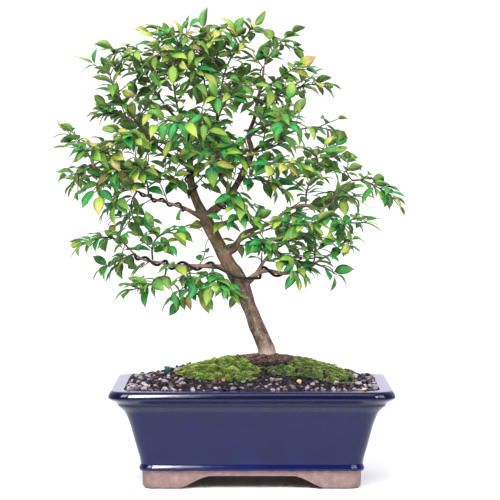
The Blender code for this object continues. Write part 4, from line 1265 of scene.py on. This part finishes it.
def stone_places(draw):
    """Places and sizes of stones that lie close together all over the soil."""
    half_x = RIM_LENGTH / 2 - POT_INSIDE[1][0] - STONE_FROM_WALL
    half_y = RIM_DEPTH / 2 - POT_INSIDE[1][0] - STONE_FROM_WALL
    corner = RIM_CORNER - STONE_CORNER_CUT
    kept = {}
    for x, y, size, _ in ODD_STONES:
        kept.setdefault(stone_cell(x, y), []).append((x, y, size))
    places = []
    for attempt in range(STONE_TRIES):
        share = 1 - attempt / STONE_TRIES
        size = STONE_SIZES[0] + (STONE_SIZES[1] - STONE_SIZES[0]) * share ** 2.6 * draw.uniform(0.15, 1.0)
        x = draw.uniform(-half_x, half_x)
        y = draw.uniform(-half_y, half_y)
        if size > BIG_STONE and draw.random() > 0.3 + 0.7 * stoniness(x, y):
            continue
        over = Vector((max(0, abs(x) - half_x + corner), max(0, abs(y) - half_y + corner)))
        if over.length > corner or under_moss(x, y, size):
            continue
        from_trunk = math.hypot(x - TRUNK_FOOT[0], y - TRUNK_FOOT[1])
        if from_trunk < STUB_RADIUS + size:
            continue
        if from_trunk < ROOT_ZONE and (size > ROOT_ZONE_STONE or draw.random() < ROOT_ZONE_BARE):
            continue
        key = stone_cell(x, y)
        near = [other for step_x in (-1, 0, 1) for step_y in (-1, 0, 1)
                for other in kept.get((key[0] + step_x, key[1] + step_y), ())]
        if any(math.hypot(x - near_x, y - near_y) < STONE_CLOSENESS * (size + other)
               for near_x, near_y, other in near):
            continue
        kept.setdefault(key, []).append((x, y, size))
        places.append((x, y, size))
    return places


def build_stones(centre, material):
    draw = random.Random(STONE_SEED)
    crumbs = Builder()
    stones = Builder()
    for x, y, size in stone_places(draw):
        middle = Vector((x, y, mound(x, y) - 0.4 + size * draw.uniform(-0.25, 0.3)))
        pick = draw.random() * (0.7 if size < CRUMB_SIZE else 0.88) + 0.09 * stoniness(x, y)
        if size > BIG_STONE:
            pick = max(pick, draw.uniform(0.2, 0.99))
        if min(moss_reaches(x, y)) < 1 or root_reach(x, y) < 1:
            pick *= 0.6
        shade = (min(1.0, pick), draw.random(), min(1.0, size / STONE_SIZES[1]), 0.0)
        (stones if size > CRUMB_SIZE else crumbs).add(stone(draw, middle, size), shade=shade)
    for x, y, size, colour in ODD_STONES:
        middle = Vector((x, y, mound(x, y) + size * 0.2))
        stones.add(stone(draw, middle, size), shade=(0.95, 0.0, 1.0, colour))
    finish_piece(add_object("soil_stones", stones, [material], centre, smooth=False), "grit")
    finish_piece(add_object("soil_crumbs", crumbs, [material], centre, smooth=False), "grit")


def build_roots(centre, material):
    """Fine brown root hairs that fan out over the soil from the trunk's foot."""
    draw = random.Random(STONE_SEED + 1)
    builder = Builder()
    for _ in range(ROOT_HAIRS):
        angle = draw.uniform(0, math.tau)
        away = draw.uniform(5.5, ROOT_ZONE - 3)
        reach = draw.uniform(*ROOT_HAIR_REACH)
        points = []
        for step in range(ROOT_HAIR_STEPS + 1):
            distance = away + reach * step / ROOT_HAIR_STEPS
            angle += draw.uniform(-0.14, 0.14)
            x = TRUNK_FOOT[0] + distance * math.cos(angle)
            y = TRUNK_FOOT[1] + distance * math.sin(angle)
            lift = draw.uniform(0.0, 0.9) * math.sin(math.pi * step / ROOT_HAIR_STEPS)
            points.append(Vector((x, y, mound(x, y) - 0.1 + lift + max(0, 8.5 - distance) * 0.4)))
        radius = draw.uniform(*ROOT_HAIR_RADIUS)
        radii = [radius * (1 - 0.6 * step / ROOT_HAIR_STEPS) for step in range(ROOT_HAIR_STEPS + 1)]
        builder.add(tube(points, radii, 5), shade=(draw.random(), 0.0, 0.0, 0.0))
    finish_piece(add_object("root_hairs", builder, [material], centre), "bark")


def moss_lump(x, y):
    """From about -0.5 in a hollow to 0.5 on a small cushion."""
    return ripple(x, y, 4.4, 9.0)


def moss_cover(x, y, dry):
    """0 where the soil shows through, 1 on full moss."""
    cover = ripple(x, y, 5.0, 20.0) + 0.42 - 0.5 * dry
    cover += 0.9 * dry * ripple(x, y, 2.2, 60.0)
    from_roots = root_reach(x, y) + 0.3 * ripple(x, y, 4.0, 40.0)
    return limited(cover * 4 + 0.15) * limited((from_roots - 0.9) * 5)


def moss_height(x, y, share, height, dry):
    lump = 0.65 + 1.1 * ripple(x, y, MOSS_LUMP_SIZE, 3.0)
    cushion = max(0.0, height * lump * (1 - share ** 3) + 1.6 * (1 - dry) * moss_lump(x, y))
    cover = moss_cover(x, y, dry)
    return mound(x, y) - 0.3 + cushion * cover - BARE_DEPTH * (1 - cover)


def moss_point(patch, share, angle):
    centre_x, centre_y, half_x, half_y, height, dry = patch
    wobble = 1 + 0.10 * math.sin(3 * angle + centre_x) + 0.06 * math.sin(5 * angle)
    x = centre_x + half_x * share * wobble * math.cos(angle)
    y = centre_y + half_y * share * wobble * math.sin(angle)
    return x, y, moss_height(x, y, share, height, dry)


def tuft(draw, foot, size):
    """A tiny star of pointed moss leaves."""
    points = []
    faces = []
    turn = draw.uniform(0, math.tau)
    for blade in range(TUFT_BLADES):
        angle = turn + math.tau * blade / TUFT_BLADES
        lean = draw.uniform(0.35, 0.95)
        heading = Vector((math.cos(angle) * lean, math.sin(angle) * lean, 1.0)).normalized()
        across = heading.cross(UP).normalized() * size * 0.16
        middle = foot + heading * size * 0.55
        tip = foot + heading * size + Vector((math.cos(angle), math.sin(angle), -0.3)) * size * 0.25
        start = len(points)
        points += [foot, middle + across, tip, middle - across]
        faces.append((start, start + 1, start + 2, start + 3))
    return points, faces


def build_moss(centre, material):
    draw = random.Random(MOSS_SEED)
    for name, patch in MOSS_FINE.items():
        dry = patch[-1]
        builder = Builder()
        top = [moss_point(patch, ring / MOSS_RINGS, math.tau * sector / MOSS_SECTORS)
               for ring in range(1, MOSS_RINGS + 1) for sector in range(MOSS_SECTORS)]
        middle = moss_point(patch, 0.0, 0.0)
        faces = [(len(top), sector, (sector + 1) % MOSS_SECTORS) for sector in range(MOSS_SECTORS)]
        for ring in range(MOSS_RINGS - 1):
            for sector in range(MOSS_SECTORS):
                after = (sector + 1) % MOSS_SECTORS
                inside = ring * MOSS_SECTORS
                outside = inside + MOSS_SECTORS
                faces.append((inside + sector, outside + sector, outside + after, inside + after))
        builder.add((top + [middle], faces), shade=(0.0, 0.3, dry, 0.0))
        count = int(math.pi * patch[2] * patch[3] * TUFTS_PER_AREA)
        for _ in range(count):
            share = math.sqrt(draw.random()) * 1.06
            foot = Vector(moss_point(patch, share, draw.uniform(0, math.tau)))
            if draw.random() > moss_cover(foot.x, foot.y, dry):
                continue
            shape = tuft(draw, foot - UP * 0.3, draw.uniform(*TUFT_SIZES))
            # The tuft's tint is lighter on the raised lumps and cushions and darker in the hollows, painted
            # light and shade, with a random spread.
            tint = 0.47 + 0.5 * ripple(foot.x, foot.y, MOSS_LUMP_SIZE, 3.0)
            tint += 1.1 * (1 - dry) * moss_lump(foot.x, foot.y)
            tint = limited(tint + draw.uniform(-0.22, 0.22))
            hue = 0.5 + ripple(foot.x, foot.y, 8.0, 31.0)
            shades = [(height, tint, dry, hue) for height in TUFT_HEIGHTS] * (len(shape[0]) // 4)
            builder.add(shape, shades=shades)
        item = add_object(name.replace("moss_", "moss_fine_"), builder, [material], centre)
        finish_piece(item, "moss", name)


class Look:
    """A material's nodes, with short calls for the ones that are used here."""

    def __init__(self, name):
        self.material = bpy.data.materials.new(name)
        self.material.use_nodes = True
        self.tree = self.material.node_tree
        self.surface = self.tree.nodes["Principled BSDF"]
        self.place = self.new("ShaderNodeTexCoord").outputs["Object"]

    def new(self, kind, **settings):
        node = self.tree.nodes.new(kind)
        for key, value in settings.items():
            setattr(node, key, value)
        return node

    def feed(self, socket, value):
        if isinstance(value, bpy.types.NodeSocket):
            self.tree.links.new(value, socket)
        elif socket.type == "RGBA":
            socket.default_value = (*value, 1.0)
        else:
            socket.default_value = value

    def noise(self, size, detail=2.0, roughness=0.5, place=None):
        """Cloudy noise whose lumps are about the given size in millimetres."""
        node = self.new("ShaderNodeTexNoise")
        self.feed(node.inputs["Vector"], place or self.place)
        self.feed(node.inputs["Scale"], 1 / (size * MM))
        self.feed(node.inputs["Detail"], detail)
        self.feed(node.inputs["Roughness"], roughness)
        return node.outputs["Fac"]

    def stretched(self, scale, lean=0.0):
        """Places with what leans to the left by the angle turned upright, and then scaled."""
        node = self.new("ShaderNodeMapping", vector_type="TEXTURE")
        self.feed(node.inputs["Vector"], self.place)
        self.feed(node.inputs["Rotation"], (0.0, -lean, 0.0))
        self.feed(node.inputs["Scale"], [1 / part for part in scale])
        return node.outputs["Vector"]

    def axis(self, name, place=None):
        node = self.new("ShaderNodeSeparateXYZ")
        self.feed(node.inputs[0], place or self.place)
        return node.outputs[name]

    def distance(self, point):
        node = self.new("ShaderNodeVectorMath", operation="DISTANCE")
        self.feed(node.inputs[0], self.place)
        self.feed(node.inputs[1], point)
        return node.outputs["Value"]

    def math(self, operation, first, second=0.0, third=0.0):
        node = self.new("ShaderNodeMath", operation=operation)
        for socket, value in zip(node.inputs, (first, second, third)):
            self.feed(socket, value)
        return node.outputs[0]

    def times(self, first, second):
        return self.math("MULTIPLY", first, second)

    def tinted(self, factor, colour, shade):
        """The colour, multiplied by the shade as far as the factor says."""
        return self.mix(factor, colour, self.mix(1.0, colour, shade, "MULTIPLY"))

    def band(self, value, low, high, start=0.0, end=1.0):
        """Rises smoothly from start to end while the value goes from low to high."""
        node = self.new("ShaderNodeMapRange", interpolation_type="SMOOTHSTEP")
        for name, part in (("Value", value), ("From Min", low), ("From Max", high), ("To Min", start),
                           ("To Max", end)):
            self.feed(node.inputs[name], part)
        return node.outputs["Result"]

    def mix(self, factor, first, second, blend="MIX"):
        node = self.new("ShaderNodeMix", data_type="RGBA", blend_type=blend)
        self.feed(node.inputs[0], factor)
        self.feed(node.inputs[6], first)
        self.feed(node.inputs[7], second)
        return node.outputs[2]

    def ramp(self, factor, stops, interpolation="LINEAR"):
        node = self.new("ShaderNodeValToRGB")
        node.color_ramp.interpolation = interpolation
        elements = node.color_ramp.elements
        while len(elements) < len(stops):
            elements.new(0.5)
        for element, (position, colour) in zip(elements, stops):
            element.position = position
            element.color = (*colour, 1.0)
        self.feed(node.inputs["Fac"], factor)
        return node.outputs["Color"]

    def shade(self):
        """The four numbers kept on each point."""
        node = self.new("ShaderNodeAttribute", attribute_name="shade")
        parts = self.new("ShaderNodeSeparateColor")
        self.feed(parts.inputs[0], node.outputs["Color"])
        return parts.outputs[0], parts.outputs[1], parts.outputs[2], node.outputs["Alpha"]

    def dress(self, colour, roughness, relief=None, specular=0.5, metallic=0.0):
        """Sets the surface; relief is a height, its strength and its depth in millimetres."""
        values = {
            "Base Color": colour,
            "Roughness": roughness,
            "Specular IOR Level": specular,
            "Metallic": metallic,
        }
        if relief:
            height, strength, depth = relief
            bump = self.new("ShaderNodeBump")
            self.feed(bump.inputs["Height"], height)
            self.feed(bump.inputs["Strength"], strength)
            self.feed(bump.inputs["Distance"], depth * MM)
            values["Normal"] = bump.outputs["Normal"]
        for name, value in values.items():
            self.feed(self.surface.inputs[name], value)
        return self.material


def leaf_look():
    look = Look("leaf_blade")
    along, across, tint, age = look.shade()
    off_rib = look.math("ABSOLUTE", look.math("MULTIPLY_ADD", across, 2.0, -1.0))
    grown = look.ramp(tint, (
        (0.0, (0.022, 0.088, 0.020)), (0.16, (0.004, 0.145, 0.036)), (0.3, (0.003, 0.205, 0.048)),
        (0.44, (0.015, 0.190, 0.035)), (0.55, (0.043, 0.168, 0.028)), (0.66, (0.073, 0.180, 0.028)),
        (0.76, (0.118, 0.208, 0.029)), (0.86, (0.182, 0.238, 0.034)), (0.94, (0.265, 0.28, 0.056)),
        (1.0, (0.38, 0.36, 0.095)),
    ))
    ripe = look.times(age, look.band(along, 0.1, 0.85, 0.6, 1.1))
    young = look.ramp(ripe, (
        (0.0, (0.05, 0.20, 0.02)), (0.35, (0.12, 0.26, 0.025)), (0.6, (0.25, 0.34, 0.04)),
        (0.8, (0.39, 0.37, 0.09)), (0.93, (0.38, 0.25, 0.13)), (1.0, (0.32, 0.15, 0.09)),
    ))
    colour = look.mix(look.band(ripe, 0.2, 0.5), grown, young)
    mottle = look.noise(3.0, 3.0)
    fresh = look.mix(0.5, colour, (0.2, 0.35, 0.03))
    colour = look.mix(look.band(mottle, 0.35, 0.75, 0.0, 0.2), colour, fresh)
    # Painted shade: cloudy patches darken the leaves, standing in for the shade inside the canopy.
    painted_shade_patches = look.band(look.noise(15.0, 1.0), 0.38, 0.62, 0.0, 0.2)
    colour = look.tinted(painted_shade_patches, colour, (0.62, 0.68, 0.66))
    tip = look.times(look.band(along, 0.62, 1.0), look.band(tint, 0.2, 0.9, 0.15, 0.7))
    colour = look.mix(tip, colour, (0.24, 0.33, 0.04))
    # Painted highlight: the blade's margins are lightened towards yellow-green.
    edge = look.band(off_rib, 0.72, 1.0, 0.0, 0.25)
    colour = look.mix(edge, colour, (0.20, 0.28, 0.05))
    slant = look.math("SINE", look.times(look.math("MULTIPLY_ADD", off_rib, -0.22, along), 58.0))
    side_veins = look.times(look.band(slant, 0.75, 1.0), look.band(off_rib, 0.95, 0.6))
    rib = look.band(off_rib, 0.12, 0.02)
    veins = look.math("MAXIMUM", rib, look.times(side_veins, 0.35))
    colour = look.mix(look.times(veins, 0.35), colour, (0.22, 0.40, 0.07))
    under = look.new("ShaderNodeAttribute", attribute_name="under").outputs["Fac"]
    pale = look.mix(0.62, colour, (0.165, 0.285, 0.078))
    colour = look.mix(under, colour, pale)
    relief = look.math("ADD", veins, look.times(mottle, 0.4))
    return look.dress(colour, look.band(under, 0.0, 1.0, 0.45, 0.65), (relief, 0.5, 0.25), specular=0.25)


def twig_look():
    look = Look("twig_bark")
    _, _, tint, _ = look.shade()
    base = look.ramp(tint, (
        (0.0, (0.035, 0.02, 0.022)), (0.6, (0.07, 0.038, 0.032)), (1.0, (0.12, 0.075, 0.04)),
    ))
    streaks = look.noise(0.8, 3.0, place=look.stretched((1.0, 1.0, 0.4)))
    colour = look.mix(look.band(streaks, 0.4, 0.7, 0.0, 0.5), base, (0.16, 0.10, 0.07))
    return look.dress(colour, 0.75, (streaks, 0.4, 0.2))


def bark_look(centre):
    look = Look("tree_bark")
    height = look.axis("Z")
    flakes = look.noise(4.5, 5.0, 0.62, place=look.stretched((1.0, 1.0, 0.7)))
    fine = look.noise(0.9, 4.0, 0.65, place=look.stretched((1.0, 1.0, 0.6)))
    patches = look.noise(9.0, 3.0, 0.5)
    peeled = look.noise(3.2, 3.0, 0.55, place=look.stretched((1.0, 1.0, 0.75)))
    colour = look.ramp(flakes, (
        (0.32, (0.072, 0.042, 0.034)), (0.45, (0.122, 0.079, 0.065)), (0.54, (0.170, 0.118, 0.098)),
        (0.68, (0.255, 0.192, 0.162)),
    ))
    streaks = look.noise(1.5, 4.0, 0.62, place=look.stretched((1.0, 1.0, 0.14), TRUNK_LEAN))
    colour = look.tinted(look.band(streaks, 0.50, 0.40, 0.0, 0.7), colour, (0.5, 0.46, 0.44))
    colour = look.mix(look.band(streaks, 0.56, 0.68, 0.0, 0.5), colour, (0.32, 0.25, 0.19))
    colour = look.mix(look.band(patches, 0.50, 0.64, 0.0, 0.5), colour, (0.15, 0.13, 0.048))
    colour = look.tinted(look.band(height, 0.115, 0.175), colour, (0.84, 0.83, 0.62))
    root = centre + Vector(TRUNK_ROOT) * MM
    trunk_line = root.x * math.cos(TRUNK_LEAN) + root.z * math.sin(TRUNK_LEAN)
    beside = look.axis("X", look.stretched((1.0, 1.0, 1.0), TRUNK_LEAN))
    off_trunk = look.math("ABSOLUTE", look.math("SUBTRACT", beside, trunk_line))
    pink = look.times(look.band(off_trunk, 0.009, 0.017, 0.0, 0.8), look.band(height, 0.235, 0.2))
    colour = look.mix(pink, colour, look.mix(0.5, colour, (0.42, 0.27, 0.22)))
    colour = look.mix(look.band(peeled, 0.58, 0.64, 0.0, 0.35), colour, (0.40, 0.33, 0.29))
    colour = look.mix(look.band(peeled, 0.40, 0.34, 0.0, 0.4), colour, (0.085, 0.05, 0.038))
    colour = look.tinted(look.band(fine, 0.60, 0.42, 0.0, 0.6), colour, (0.55, 0.50, 0.49))
    across = look.math("SUBTRACT", beside, trunk_line)
    on_trunk = look.band(off_trunk, 0.011, 0.008)
    # The trunk's left side is tinted orange-brown and its right side mauve, both darker: partly the bark's
    # own colour, partly painted shade on the trunk's sides.
    for inner, outer, shade in ((-0.0015, -0.0045, (1.0, 0.80, 0.62)), (0.001, 0.0045, (0.90, 0.78, 0.90))):
        side_colour_and_shade = look.times(look.band(across, inner, outer, 0.0, 0.6), on_trunk)
        colour = look.tinted(side_colour_and_shade, colour, shade)
    off_band = look.math("ABSOLUTE", look.math("SUBTRACT", across, 0.0012))
    mossy = look.times(look.band(off_band, 0.0034, 0.0008, 0.0, 0.7), look.band(height, 0.15, 0.135))
    colour = look.tinted(mossy, colour, (0.92, 1.04, 0.86))
    foot = look.band(height, 0.104, 0.091, 0.0, 0.8)
    colour = look.mix(foot, colour, look.mix(0.5, colour, (0.60, 0.46, 0.36)))
    from_scar = look.distance(centre + Vector(BRANCH_SCAR) * MM)
    ragged = look.math("MULTIPLY_ADD", look.math("SUBTRACT", peeled, 0.5), 0.008, from_scar)
    flecked = look.times(look.band(ragged, 0.0040, 0.0022, 0.0, 0.4), look.band(streaks, 0.45, 0.54))
    colour = look.mix(flecked, colour, (0.25, 0.21, 0.20))
    from_red = look.distance(centre + Vector(RED_PLACE) * MM)
    colour = look.mix(look.band(from_red, 0.0052, 0.0026, 0.0, 0.4), colour, (0.19, 0.085, 0.06))
    young_wood = look.band(height, 0.196, 0.25, 0.0, 0.75)
    colour = look.tinted(young_wood, colour, (0.46, 0.37, 0.36))
    # Painted shade: the bark darkens around the fork where the two leaders part.
    from_fork_shade = look.distance(centre + Vector(FORK_SHADE_PLACE) * MM)
    colour = look.mix(look.band(from_fork_shade, 0.0115, 0.006, 0.0, 0.5), colour, (0.045, 0.028, 0.022))
    relief = look.math("ADD", look.times(fine, 0.6), flakes)
    return look.dress(colour, look.band(fine, 0.3, 0.7, 0.6, 0.85), (relief, 0.8, 0.8), specular=0.25)


def wire_look():
    look = Look("wire_anodised")
    scratches = look.noise(1.5, 3.0)
    colour = look.mix(look.band(scratches, 0.5, 0.8, 0.0, 0.4), (0.012, 0.011, 0.014), (0.045, 0.04, 0.05))
    roughness = look.band(scratches, 0.3, 0.7, 0.38, 0.55)
    return look.dress(colour, roughness, (scratches, 0.15, 0.1), metallic=0.6)


def pot_look():
    look = Look("glaze_and_clay")
    height = look.axis("Z")
    waver = look.noise(7.0, 3.0)
    level = look.math("MULTIPLY_ADD", waver, 1.6 * MM, look.math("SUBTRACT", height, 0.8 * MM))
    glazed = look.band(level, (GLAZE_EDGE - 0.15) * MM, (GLAZE_EDGE + 0.15) * MM)
    clouds = look.noise(22.0, 4.0, 0.6)
    specks = look.noise(1.1, 2.0)
    glaze = look.ramp(clouds, (
        (0.3, (0.0005, 0.0026, 0.034)), (0.55, (0.0008, 0.0035, 0.041)), (0.75, (0.0018, 0.0048, 0.054)),
    ))
    glaze = look.mix(look.band(specks, 0.66, 0.8, 0.0, 0.3), glaze, (0.012, 0.02, 0.13))
    # Painted dark reflection: a dark line in the cove under the rim.
    painted_cove_reflection = look.times(look.band(height, 60.8 * MM, 61.4 * MM), look.band(height, 63.6 * MM, 63.0 * MM))
    glaze = look.mix(painted_cove_reflection, glaze, (0.0004, 0.0020, 0.024))
    # Painted dark reflection: the glaze is darkened over the rim's front roll.
    at_rim = look.band(height, 66.0 * MM, 67.0 * MM)
    glaze = look.mix(at_rim, glaze, (0.0015, 0.002, 0.017))
    # Painted reflection: the rim's flat top is lightened towards lavender-blue.
    painted_rim_top_reflection = look.band(height, 71.4 * MM, 71.9 * MM)
    glaze = look.mix(painted_rim_top_reflection, glaze, (0.012, 0.008, 0.075))
    grog = look.noise(0.9, 3.0, 0.6)
    clay = look.ramp(look.noise(5.0, 5.0, 0.65), (
        (0.3, (0.143, 0.088, 0.084)), (0.55, (0.187, 0.120, 0.117)), (0.75, (0.243, 0.166, 0.164)),
    ))
    clay = look.mix(look.band(grog, 0.6, 0.8, 0.0, 0.5), clay, (0.13, 0.075, 0.06))
    colour = look.mix(glazed, clay, glaze)
    roughness = look.band(glazed, 0.0, 1.0, 0.85, 0.07)
    ripple = look.noise(9.0, 2.0)
    rough_clay = look.times(grog, look.band(glazed, 1.0, 0.0, 0.0, 0.5))
    relief = look.math("ADD", rough_clay, look.times(ripple, 0.06))
    return look.dress(colour, roughness, (relief, 0.35, 0.5), specular=0.3)


def soil_look():
    look = Look("soil_dark")
    grains = look.noise(1.6, 4.0, 0.7)
    colour = look.ramp(grains, (
        (0.3, (0.005, 0.004, 0.005)), (0.5, (0.014, 0.011, 0.013)), (0.62, (0.032, 0.024, 0.025)),
        (0.78, (0.085, 0.062, 0.056)),
    ))
    peat = look.ramp(grains, (
        (0.3, (0.010, 0.005, 0.005)), (0.55, (0.032, 0.015, 0.012)), (0.75, (0.09, 0.05, 0.04)),
    ))
    colour = look.mix(look.band(look.axis("Z"), 86.0 * MM, 89.5 * MM, 0.0, 0.9), colour, peat)
    return look.dress(colour, 0.92, (grains, 0.9, 1.0), specular=0.15)


def stone_look():
    look = Look("grit_stones")
    pick, other, size, odd = look.shade()
    colour = look.ramp(pick, (
        (0.0, (0.005, 0.004, 0.005)), (0.3, (0.010, 0.0075, 0.010)), (0.46, (0.026, 0.019, 0.022)),
        (0.56, (0.062, 0.050, 0.061)), (0.66, (0.135, 0.114, 0.142)), (0.75, (0.085, 0.050, 0.046)),
        (0.80, (0.235, 0.200, 0.245)), (0.88, (0.215, 0.168, 0.140)), (0.92, (0.32, 0.285, 0.32)),
        (0.975, (0.44, 0.39, 0.38)),
    ), "CONSTANT")
    odd_colour = look.ramp(odd, (
        (0.0, (0.0, 0.0, 0.0)), (0.3, (0.02, 0.075, 0.070)), (0.6, (0.48, 0.32, 0.20)),
        (0.8, (0.27, 0.24, 0.265)), (0.95, (0.33, 0.11, 0.10)),
    ), "CONSTANT")
    colour = look.mix(look.math("GREATER_THAN", odd, 0.2), colour, odd_colour)
    grain = look.noise(0.7, 3.0, 0.6)
    colour = look.tinted(look.band(grain, 0.4, 0.75, 0.0, 0.5), colour, (0.4, 0.38, 0.38))
    colour = look.mix(look.band(other, 0.5, 1.0, 0.0, 0.4), colour, (0.015, 0.011, 0.010))
    return look.dress(colour, look.band(size, 0.0, 1.0, 0.9, 0.6), (grain, 0.6, 0.4), specular=0.2)


def root_look():
    look = Look("root_fibre")
    pick, _, _, _ = look.shade()
    colour = look.ramp(pick, (
        (0.0, (0.018, 0.008, 0.007)), (0.65, (0.062, 0.030, 0.024)), (1.0, (0.24, 0.15, 0.11)),
    ))
    relief = look.noise(0.6, 2.0)
    return look.dress(colour, 0.85, (relief, 0.3, 0.15))


def moss_look():
    look = Look("moss_green")
    height, tint, dry, hue = look.shade()
    patches = look.noise(11.0, 3.0, 0.6)
    low = look.ramp(patches, (
        (0.35, (0.05, 0.085, 0.012)), (0.6, (0.09, 0.13, 0.02)), (0.75, (0.07, 0.05, 0.02)),
    ))
    low = look.mix(dry, low, (0.07, 0.05, 0.042))
    # The tint carries painted light and shade: lighter on the moss's lumps, darker in its hollows.
    blend = look.math("MULTIPLY_ADD", tint, 0.7, look.times(patches, 0.3))
    blend = look.math("MULTIPLY_ADD", dry, -0.25, blend)
    yellow = look.ramp(blend, (
        (0.1, (0.09, 0.10, 0.03)), (0.3, (0.19, 0.24, 0.04)), (0.5, (0.36, 0.45, 0.07)),
        (0.8, (0.60, 0.66, 0.18)),
    ))
    vivid = look.ramp(blend, (
        (0.1, (0.05, 0.09, 0.02)), (0.3, (0.11, 0.24, 0.03)), (0.5, (0.22, 0.46, 0.05)),
        (0.8, (0.40, 0.62, 0.13)),
    ))
    high = look.mix(look.band(hue, 0.42, 0.62), yellow, vivid)
    high = look.mix(look.times(dry, 0.8), high, (0.25, 0.28, 0.14))
    colour = look.mix(look.band(height, 0.1, 0.8), low, high)
    relief = look.noise(0.8, 3.0)
    return look.dress(colour, 0.95, (relief, 0.8, 0.6))


def screen_look():
    look = Look("screen_moulded")
    grain = look.noise(0.8, 2.0)
    colour = look.mix(look.band(grain, 0.3, 0.7), (0.012, 0.012, 0.012), (0.03, 0.03, 0.03))
    return look.dress(colour, 0.6, (grain, 0.2, 0.1))


def dress_screens(frame):
    material = screen_look()
    for name in ("drain_screen_left", "drain_screen_right"):
        frame["nodes"][name].data.materials.clear()
        frame["nodes"][name].data.materials.append(material)


def build_floor(centre):
    """A plain white round table top."""
    outline = []
    for side in range(FLOOR_SIDES):
        angle = math.tau * side / FLOOR_SIDES
        outline.append(centre + Vector((math.cos(angle), math.sin(angle), 0)) * FLOOR_RADIUS * MM)
    mesh = bpy.data.meshes.new("floor")
    mesh.from_pydata(outline, [], [tuple(range(FLOOR_SIDES))])
    floor = bpy.data.objects.new("floor", mesh)
    bpy.context.scene.collection.objects.link(floor)
    look = Look("floor_paper")
    colour = look.mix(look.noise(400.0), (0.90, 0.90, 0.90), (0.92, 0.92, 0.92))
    mesh.materials.append(look.dress(colour, 0.9, specular=0.1))


def build_world():
    """A cool white studio whose photographer's side is dim, against a white backdrop."""
    world = bpy.data.worlds.new("studio")
    world.use_nodes = True
    tree = world.node_tree
    background = tree.nodes["Background"]
    place = tree.nodes.new("ShaderNodeTexCoord")
    parts = tree.nodes.new("ShaderNodeSeparateXYZ")
    tree.links.new(place.outputs["Generated"], parts.inputs[0])
    levels = []
    for axis, low, high in STUDIO_RISES:
        rise = tree.nodes.new("ShaderNodeMapRange")
        rise.interpolation_type = "SMOOTHSTEP"
        rise.inputs["From Min"].default_value = low
        rise.inputs["From Max"].default_value = high
        rise.inputs["To Min"].default_value = STUDIO_DIM
        rise.inputs["To Max"].default_value = STUDIO_BRIGHT
        tree.links.new(parts.outputs[axis], rise.inputs["Value"])
        levels.append(rise.outputs["Result"])
    seen = tree.nodes.new("ShaderNodeLightPath").outputs["Is Camera Ray"]
    levels.append(seen)
    strength = levels[0]
    for level in levels[1:]:
        brightest = tree.nodes.new("ShaderNodeMath")
        brightest.operation = "MAXIMUM"
        tree.links.new(strength, brightest.inputs[0])
        tree.links.new(level, brightest.inputs[1])
        strength = brightest.outputs[0]
    tint = tree.nodes.new("ShaderNodeMix")
    tint.data_type = "RGBA"
    tint.inputs[6].default_value = (*STUDIO_TINT, 1.0)
    tint.inputs[7].default_value = (1.0, 1.0, 1.0, 1.0)
    tree.links.new(seen, tint.inputs[0])
    tree.links.new(tint.outputs[2], background.inputs["Color"])
    tree.links.new(strength, background.inputs["Strength"])
    bpy.context.scene.world = world


def build_lights(centre):
    for name, (place, target, width, height, power) in LIGHTS.items():
        data = bpy.data.lights.new(name, "AREA")
        data.shape = "RECTANGLE"
        data.size = width * MM
        data.size_y = height * MM
        data.energy = power
        light = bpy.data.objects.new(name, data)
        light.location = centre + Vector(place) * MM
        aim = Vector(target) - Vector(place)
        light.rotation_euler = aim.to_track_quat("-Z", "Y").to_euler()
        bpy.context.scene.collection.objects.link(light)


def build_camera(centre):
    data = bpy.data.cameras.new("camera")
    data.sensor_width = SENSOR
    data.lens = FOCAL_PIXELS / FRAME_PIXELS * SENSOR
    data.clip_end = 50.0
    camera = bpy.data.objects.new("camera", data)
    camera.location = centre + Vector(CAMERA_PLACE) * MM
    tilt = math.atan((FRAME_PIXELS / 2 - HORIZON_ROW) / FOCAL_PIXELS)
    camera.rotation_euler = (math.pi / 2 - tilt, 0, 0)
    bpy.context.scene.collection.objects.link(camera)
    bpy.context.scene.camera = camera


def set_colours():
    view = bpy.context.scene.view_settings
    view.view_transform = "Standard"
    view.look = "None"


def main():
    frame, centre = load_frame()
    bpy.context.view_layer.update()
    build_camera(centre)
    build_lights(centre)
    build_floor(centre)
    build_world()
    set_colours()
    build_pot(centre, pot_look())
    build_soil(centre, soil_look())
    build_stones(centre, stone_look())
    build_roots(centre, root_look())
    build_moss(centre, moss_look())
    build_bark(centre, bark_look(centre))
    build_wires(centre, wire_look())
    build_foliage(frame, centre, [leaf_look(), twig_look()])
    dress_screens(frame)


main()
